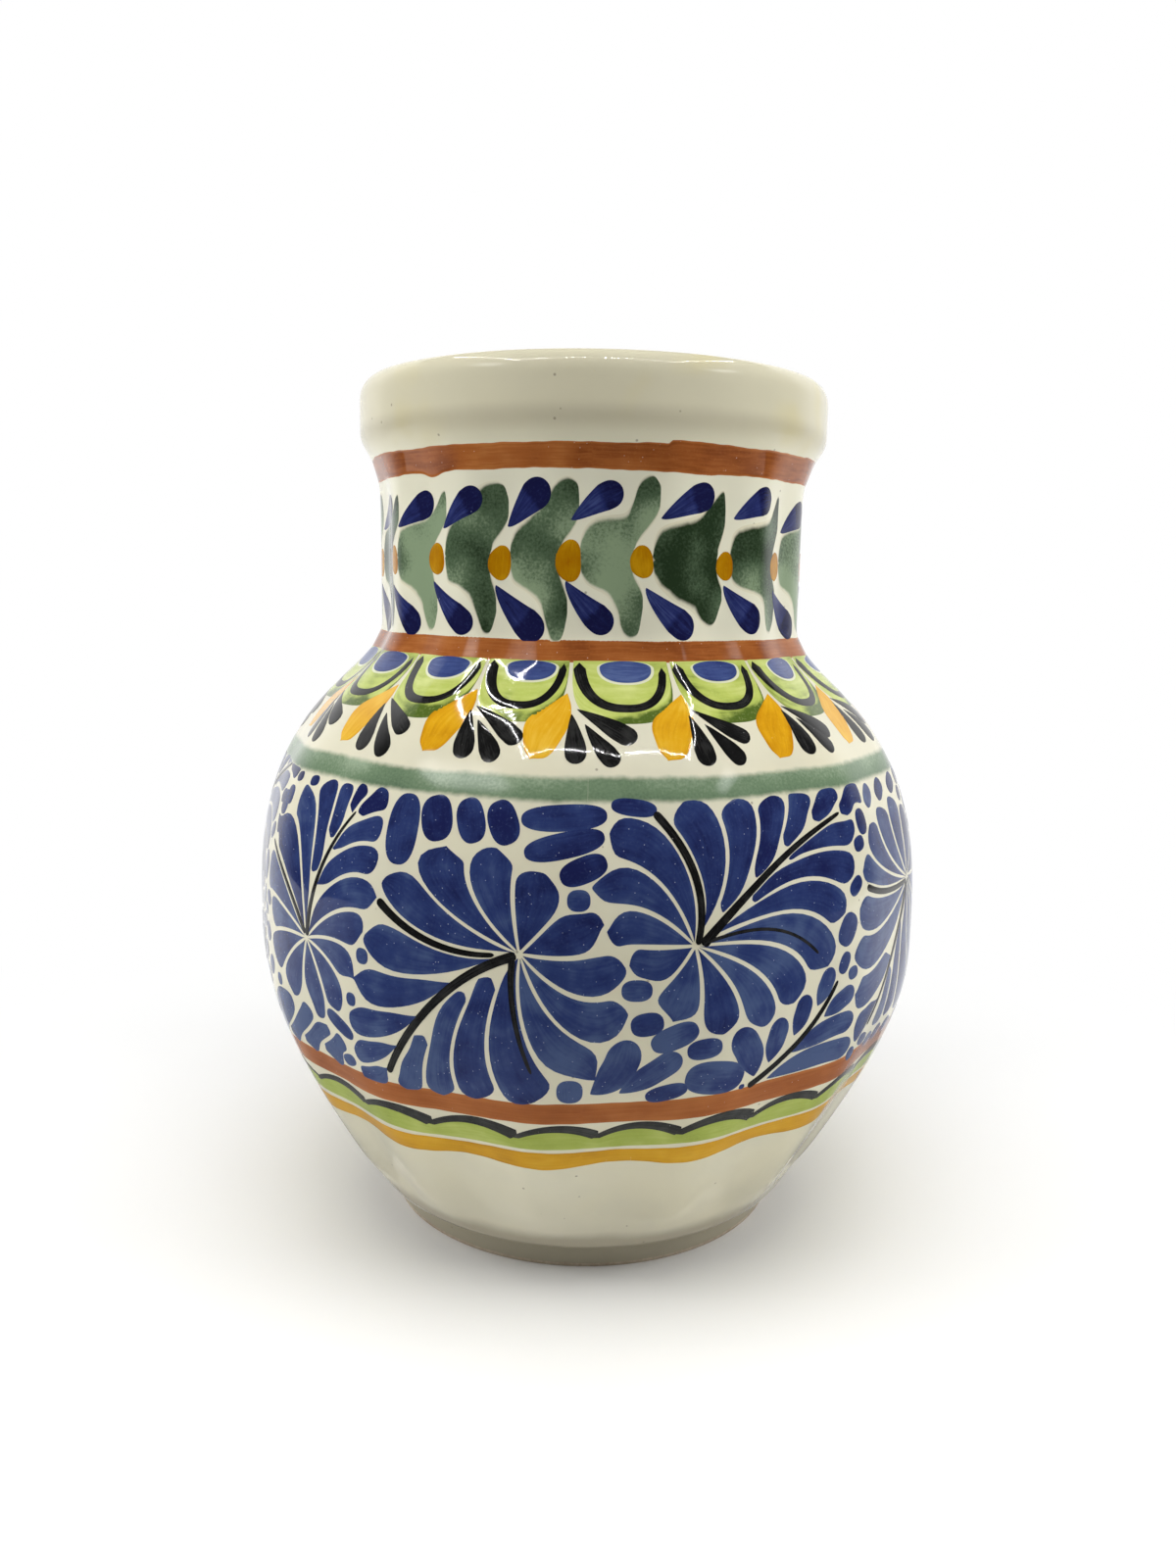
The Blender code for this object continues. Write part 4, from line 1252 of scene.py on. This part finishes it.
def roomBeside(spine, side, others, stemPoints):
    # how far each point may spread to one side: up to half the gap from the middle line to any other spine
    reach = np.linspace(0, plumes["widest"], plumes["reaches"])
    spots = spine[:, None] + side[:, None] * reach[:, None]
    low, high = spots.min((0, 1)) - plumes["near"], spots.max((0, 1)) + plumes["near"]
    slant = -plumes["slant"] * np.sin(spots[..., 0] / wall["bellyRadius"])
    free = (spots[..., 1] > plumes["top"]) & (spots[..., 1] < plumes["bottom"] + slant)
    near = others[(others > low).all(1) & (others < high).all(1)]
    if len(near):
        apart = np.sqrt(((spine[:, None] - near) ** 2).sum(2))
        away = ((spots[:, :, None] - near) ** 2).sum(3)
        margin = (away - (reach ** 2)[:, None]) / (2 * apart[:, None] + 1e-6)
        free &= margin.min(2) > plumes["gap"] / 2
    near = stemPoints[(stemPoints[:, :2] > low).all(1) & (stemPoints[:, :2] < high).all(1)]
    if len(near):
        away = np.sqrt(((spots[:, :, None] - near[:, :2]) ** 2).sum(3)) - near[:, 2]
        free &= away.min(2) > plumes["stemGap"]
    blocked = ~free
    first = np.where(blocked.any(1), blocked.argmax(1), len(reach))
    return reach[np.maximum(first - 1, 0)]


def petalHalves(petals, marks, taken):
    # half widths of the petals: the room on either side, evened along the petal, narrow at the root and
    # closed by a blunt superellipse at the tip
    side = sideways(petals)
    along, length = runShare(petals)
    rooms = np.empty((2,) + along.shape)
    for k in range(len(petals)):
        rest = threeTurns(np.delete(marks, k, 0).reshape(-1, 2))
        for order, sign in enumerate((1, -1)):
            rooms[order, k] = roomBeside(petals[k], sign * side[k], rest, taken)
    evened(rooms, plumes["sweeps"])
    blunt = np.clip(rooms.mean(0)[:, plumes["bluntAt"]].mean(1, keepdims=True), *plumes["blunt"])
    close = roundedEnd(length - along, np.minimum(blunt, plumes["bluntShare"] * length), plumes["endPower"])
    return np.maximum(np.minimum(rooms, plumes["rootHalf"] + plumes["rootWiden"] * along) * close, thinnest)


def ovalHalves(spine, half):  # superellipse from end to end
    along, length = runShare(spine)
    power = plumes["endPower"]
    return np.maximum(half * (1 - np.abs(2 * along / length - 1) ** power).clip(0) ** (1 / power), thinnest)


def leafHalves(spine, half):  # sine from a thin root to full width, closed by a round tip
    along, length = runShare(spine)
    rise = np.sin(np.pi / 2 * (along / length * 2).clip(0, 1)) ** 0.8
    return np.maximum(half * rise * roundedEnd(length - along, 1.2 * half), thinnest)


def plumePieces():
    # petals spread up to the middle lines between their spines; the other strokes keep their widths
    kinds = plumeRows()
    rng = np.random.default_rng(plumes["seed"])
    spines, marks = ({key: quadRoute(*rows.swapaxes(0, 1), count) for key, (rows, widths) in kinds.items()}
                     for count in (plumes["steps"] + 1, plumes["samples"]))
    lines = np.concatenate([marks["stems"], marks["veins"]])
    widths = np.concatenate([kinds["stems"][1], kinds["veins"][1]])
    share = np.linspace(0, 1, plumes["samples"])
    lineHalf = widths[:, :1] * (1 - share) + widths[:, 1:] * share
    given = [(spines[key], shape(spines[key], kinds[key][1]))
             for key, shape in (("dabs", ovalHalves), ("leaves", leafHalves))]
    taken = [(marks["stems"], lineHalf[:len(marks["stems"])])] + given
    taken = [np.concatenate([spine, half[..., None]], 2).reshape(-1, 3) for spine, half in taken]
    halves = petalHalves(spines["petals"], marks["petals"], threeTurns(np.concatenate(taken)))
    borders = [bordersOf(spines["petals"], *halves)] + [bordersOf(spine, half, half) for spine, half in given]
    borders = joined(borders)
    left, right = joined([borders, openSpots(*borders, marks["stems"])])
    toAngle = np.array([1 / wall["bellyRadius"], 1.0])
    # tone by height: darker near the top, where the blue was laid twice, and paler lower down, partly a
    # painted reflection of the pale floor
    topRun, fall = plumes["toneRuns"]
    level = ((left + right).mean(1)[:, 1] / 2 - topRun) / fall
    tone = plumes["tone"] - plumes["toneFall"] * level
    tone = np.clip(tone + rng.uniform(-plumes["toneSpread"], plumes["toneSpread"], len(left)), 0, 1)
    paintedStrokes("belly_plumes", (left * toAngle, right * toAngle), tone, (0.025, 0.06), "cobalt")
    half = lineHalves(lines, lineHalf, 1.0, 1.2)
    borders = [side * toAngle for side in bordersOf(lines, half, half)]
    paintedStrokes("belly_stems", borders, rng.uniform(0, 1, len(lines)), (0.06, 0.10), "black", lanes=4)


def openSpots(left, right, stems):
    # short oval dabs in the widest open places between the strokes, one after another
    marks = np.concatenate([left * (1 - part) + right * part for part in np.linspace(0, 1, 5)])
    marks = threeTurns(np.concatenate([marks.reshape(-1, 2), stems.reshape(-1, 2)]))
    start = plumes["groupStarts"][0][0] * deg * wall["bellyRadius"]
    margin, step, block, reach = (plumes[key] for key in ("fillMargin", "fillStep", "fillBlock", "fillNear"))
    x = np.arange(start, start + bellyTurn, step)
    y = np.arange(plumes["top"] + margin, plumes["bottom"] - margin, step)
    grid = np.stack(np.meshgrid(x, y, indexing="ij"), -1)
    clear = np.empty(grid.shape[:2])
    for first in range(0, len(x), block):
        part = grid[first:first + block].reshape(-1, 2)
        near = marks[(marks[:, 0] > part[0, 0] - reach) & (marks[:, 0] < part[-1, 0] + reach)]
        clear[first:first + block] = np.sqrt(((part[:, None] - near) ** 2).sum(2).min(1)).reshape(-1, len(y))
    spots, sizes = [], []
    while clear.max() > plumes["fillFrom"] and len(spots) < plumes["fillCount"]:
        best = np.unravel_index(clear.argmax(), clear.shape)
        size = min(clear[best] - plumes["fillGap"], plumes["fillMost"])
        spots.append(grid[best])
        sizes.append([size])
        away = grid - grid[best]
        away[..., 0] = (away[..., 0] + bellyTurn / 2) % bellyTurn - bellyTurn / 2
        clear = np.minimum(clear, np.sqrt((away ** 2).sum(-1)) - size)
    print("open places filled with dabs:", len(spots))
    spots, sizes = np.array(spots).reshape(-1, 2), np.array(sizes).reshape(-1, 1)
    turn = np.arange(len(spots)) * plumes["fillTurn"]
    lean = np.stack([np.sin(turn), np.cos(turn)], 1) * sizes
    spine = quadRoute(spots - lean, spots, spots + lean, left.shape[1])
    length = runShare(spine)[1]
    half = lineHalves(spine, plumes["fillHalf"] * sizes, length / 2, length / 2, plumes["fillLeast"])
    return bordersOf(spine, half, half)


# Camera where the photograph was taken: just above the middle of the vase, looking a little down
view = dict(
    place=(0.0, -0.3678, 0.191), pitch=9.63, roll=0.90, focalPixels=1204.0, longSide=1600.0, sensor=36.0,
    nearest=0.01,
)


def photoCamera():
    camera = bpy.data.objects.new("photoCamera", bpy.data.cameras.new("photoCamera"))
    bpy.context.scene.collection.objects.link(camera)
    camera.data.sensor_width = view["sensor"]
    camera.data.lens = view["focalPixels"] / view["longSide"] * view["sensor"]
    camera.data.clip_start = view["nearest"]
    tilt = Matrix.Rotation((90 - view["pitch"]) * deg, 4, "X") @ Matrix.Rotation(view["roll"] * deg, 4, "Z")
    camera.matrix_world = Matrix.Translation(view["place"]) @ tilt
    bpy.context.scene.camera = camera


# The stage, in metres
studio = dict(
    skyLight=0.56, floorSize=6.0, floor=(0.94, 0.94, 0.93, 1.0), floorRough=0.9, whiteFrom=0.13, whiteAt=0.34,
    opening=dict(away=0.80, high=0.95, columns=91, arc=(98 * deg, 126 * deg), apronArc=(60 * deg, 112 * deg),
                 apron=(0.075, 0.42), apronRows=9, nearLight=0.25, floorLight=0.48, level=0.002),
    lampAim=(0, 0, 0.12), lampPower=3.0,
    lamps=dict(  # place and size
        topLamp=((0.0, -0.16, 0.80), (0.5, 0.5)), leftLamp=((-0.62, -0.16, 0.40), (0.4, 0.6)),
        rightLamp=((0.62, -0.16, 0.40), (0.4, 0.6))),
    bars=dict(  # start, end and count of the lamps in a row
        frontBar=((-0.19, -0.232, 0.50), (0.19, -0.232, 0.50), 33),
        leftBar=((-0.19, -0.22, 0.50), (-0.19, 0.05, 0.50), 24),
        rightBar=((0.19, -0.22, 0.50), (0.19, 0.05, 0.50), 24)),
    barHalf=0.0022, barLight=150.0,
    panels=dict(leftPanel=(-0.345, -0.285), rightPanel=(0.440, -0.240)),  # middle (x, y) of two soft panels
    panelHalf=(0.065, 0.10), panelHigh=0.50, panelLight=5.0, panelGrid=(9, 13),
)


def lightTent():
    # soft lamps above and at both sides, inside a pale sky that shows white to the camera and in the glaze
    for name, (spot, size) in studio["lamps"].items():
        light = bpy.data.lights.new(name, "AREA")
        light.shape = "RECTANGLE"
        light.size, light.size_y = size
        light.energy = studio["lampPower"]
        made = bpy.data.objects.new(name, light)
        bpy.context.scene.collection.objects.link(made)
        place = Matrix.Translation(spot)
        aim = (Matrix.Translation(studio["lampAim"]).translation - place.translation).to_track_quat("-Z", "Y")
        made.matrix_world = place @ aim.to_matrix().to_4x4()
        made.visible_glossy = False
    world = bpy.data.worlds.new("lightTent")
    bpy.context.scene.world = world
    sky = Finish(world)
    sky.feed(sky.tree.nodes["Background"], {"Color": sky.white, "Strength": skyStrength(sky)})


def skyStrength(finish):  # white where it is seen, and a plain level of light on the vase
    return seenRays(finish) * (1 - studio["skyLight"]) + studio["skyLight"]


def seenRays(finish):  # 1 for rays from the camera, reflections and glass
    camera, glossy, glass = (finish.node("ShaderNodeLightPath", out=kind) for kind in
                             ("Is Camera Ray", "Is Glossy Ray", "Is Transmission Ray"))
    return camera.larger(glossy.larger(glass))


def stagePiece(name, points, faces, finish, seen=False, lighting=False, shade=None):
    # a piece of the stage; one that isn't lighting is left out of the light that falls on the vase
    mesh = bpy.data.meshes.new(name)
    mesh.from_pydata(points.reshape(-1, 3).tolist(), [], faces.tolist())
    mesh.materials.append(finish.material)
    if shade is not None:
        mesh.attributes.new("shade", "FLOAT", "POINT").data.foreach_set("value", np.float32(shade).ravel())
    made = bpy.data.objects.new(name, mesh)
    bpy.context.scene.collection.objects.link(made)
    made.visible_camera = seen
    made.visible_diffuse = lighting
    made.visible_shadow = lighting


def paleFloor():
    # floor that keeps the vase's shadow, and goes over into plain white away from it
    finish = Finish("paleFloor")
    finish.feed(finish.shader, {
        "Base Color": studio["floor"], "Roughness": studio["floorRough"], "Specular IOR Level": 0.0})
    away = finish.node("ShaderNodeVectorMath", dict(operation="LENGTH"), {0: finish.place()}, "Value")
    share = finish.ease(away, studio["whiteFrom"], studio["whiteAt"]) * seenRays(finish)
    lit = Wire(finish, finish.shader.outputs[0])
    finish.show(finish.node("ShaderNodeMixShader", None, {0: share, 1: lit, 2: finish.light(1.0)}))
    corners = np.array([(-1, -1, 0), (1, -1, 0), (1, 1, 0), (-1, 1, 0)]) * studio["floorSize"] / 2
    stagePiece("floor", corners, np.array([(0, 1, 2, 3)]), finish, seen=True, lighting=True)


def darkRoom():
    # dark room round the front of the set, seen only in the glaze: an upright arc that also shades the
    # front, a ceiling on it and an apron on the floor; shade is 1 where they meet the pale sky and floor
    look = studio["opening"]
    finish = Finish("darkRoom")
    finish.show(finish.light(finish.attribute("shade") * skyStrength(finish)))
    near, far = look["apron"]
    apronAway = np.append(np.linspace(near, far, look["apronRows"]), look["away"])
    sides = dict(
        dark_room=(look["arc"], np.full(2, look["away"]), np.array([0.0, look["high"]])),
        dark_apron=(look["apronArc"], apronAway, 0 * apronAway + look["level"]),
        dark_ceiling=((np.pi, np.pi), np.array([0.001, look["away"]]), np.full(2, look["high"])))
    for name, ((darkTo, paleAt), away, height) in sides.items():
        turn = np.linspace(paleAt, -paleAt, look["columns"])
        away = away[:, None]
        shade = smoothStep(np.abs(turn), darkTo, paleAt + 1e-6) + 0 * away
        if name == "dark_apron":
            # the apron's glow is a painted reflection of the floor: at its sides as dim as the floor in the
            # vase's shadow, and a faint glow right by the foot
            whiter = smoothStep(away, studio["whiteFrom"], studio["whiteAt"])
            shade *= look["floorLight"] + (1 - look["floorLight"]) * whiter
            shade = np.maximum(shade, look["nearLight"] * (1 - smoothStep(away, near, far)))
        points = turned(turn, away, height[:, None] + 0 * turn)
        faces = gridQuads(numbered(*shade.shape))
        stagePiece(name, points, faces, finish, lighting=name == "dark_room", shade=shade)


def lampBars():
    # rows of small bright lamps above the front of the vase, seen only as points of light in the glaze
    finish = Finish("lampGlow")
    finish.show(finish.light(studio["barLight"]))
    square = np.array([(-1, -1, 0), (-1, 1, 0), (1, 1, 0), (1, -1, 0)]) * studio["barHalf"]
    for name, (start, end, count) in studio["bars"].items():
        points = np.linspace(start, end, count)[:, None] + square
        stagePiece(name, points, np.arange(4 * count).reshape(-1, 4), finish)


def softPanels():
    # two panels at the sides, seen only in the glaze: brightness falls off as (1 - x2)(1 - y2)
    finish = Finish("panelGlow")
    finish.show(finish.light(finish.attribute("shade") * studio["panelLight"]))
    across, along = np.meshgrid(*(np.linspace(-1, 1, count) for count in studio["panelGrid"]))
    shade = (1 - across ** 2) * (1 - along ** 2)
    faces = gridQuads(numbered(*shade.shape).T)
    halfX, halfY = studio["panelHalf"]
    for name, (x, y) in studio["panels"].items():
        points = np.stack([x + halfX * across, y + halfY * along, studio["panelHigh"] + 0 * along], -1)
        stagePiece(name, points, faces, finish, shade=shade)


photoCamera()
lightTent()
paleFloor()
darkRoom()
lampBars()
softPanels()
print("stage set: camera, lamps, floor, dark room and panels")
glazedBody()
bareFoot()
for order, (bandName, bandLook) in enumerate(bands.items()):
    bandPiece(bandName, bandLook, bandGrid["seed"] + order)
archStrokes()
garlandLeaves()
garlandDrops()
garlandDots()
scallopPieces()
scallopLines()
shoulderFans()
plumePieces()
bpy.context.scene.view_settings.view_transform = "Standard"
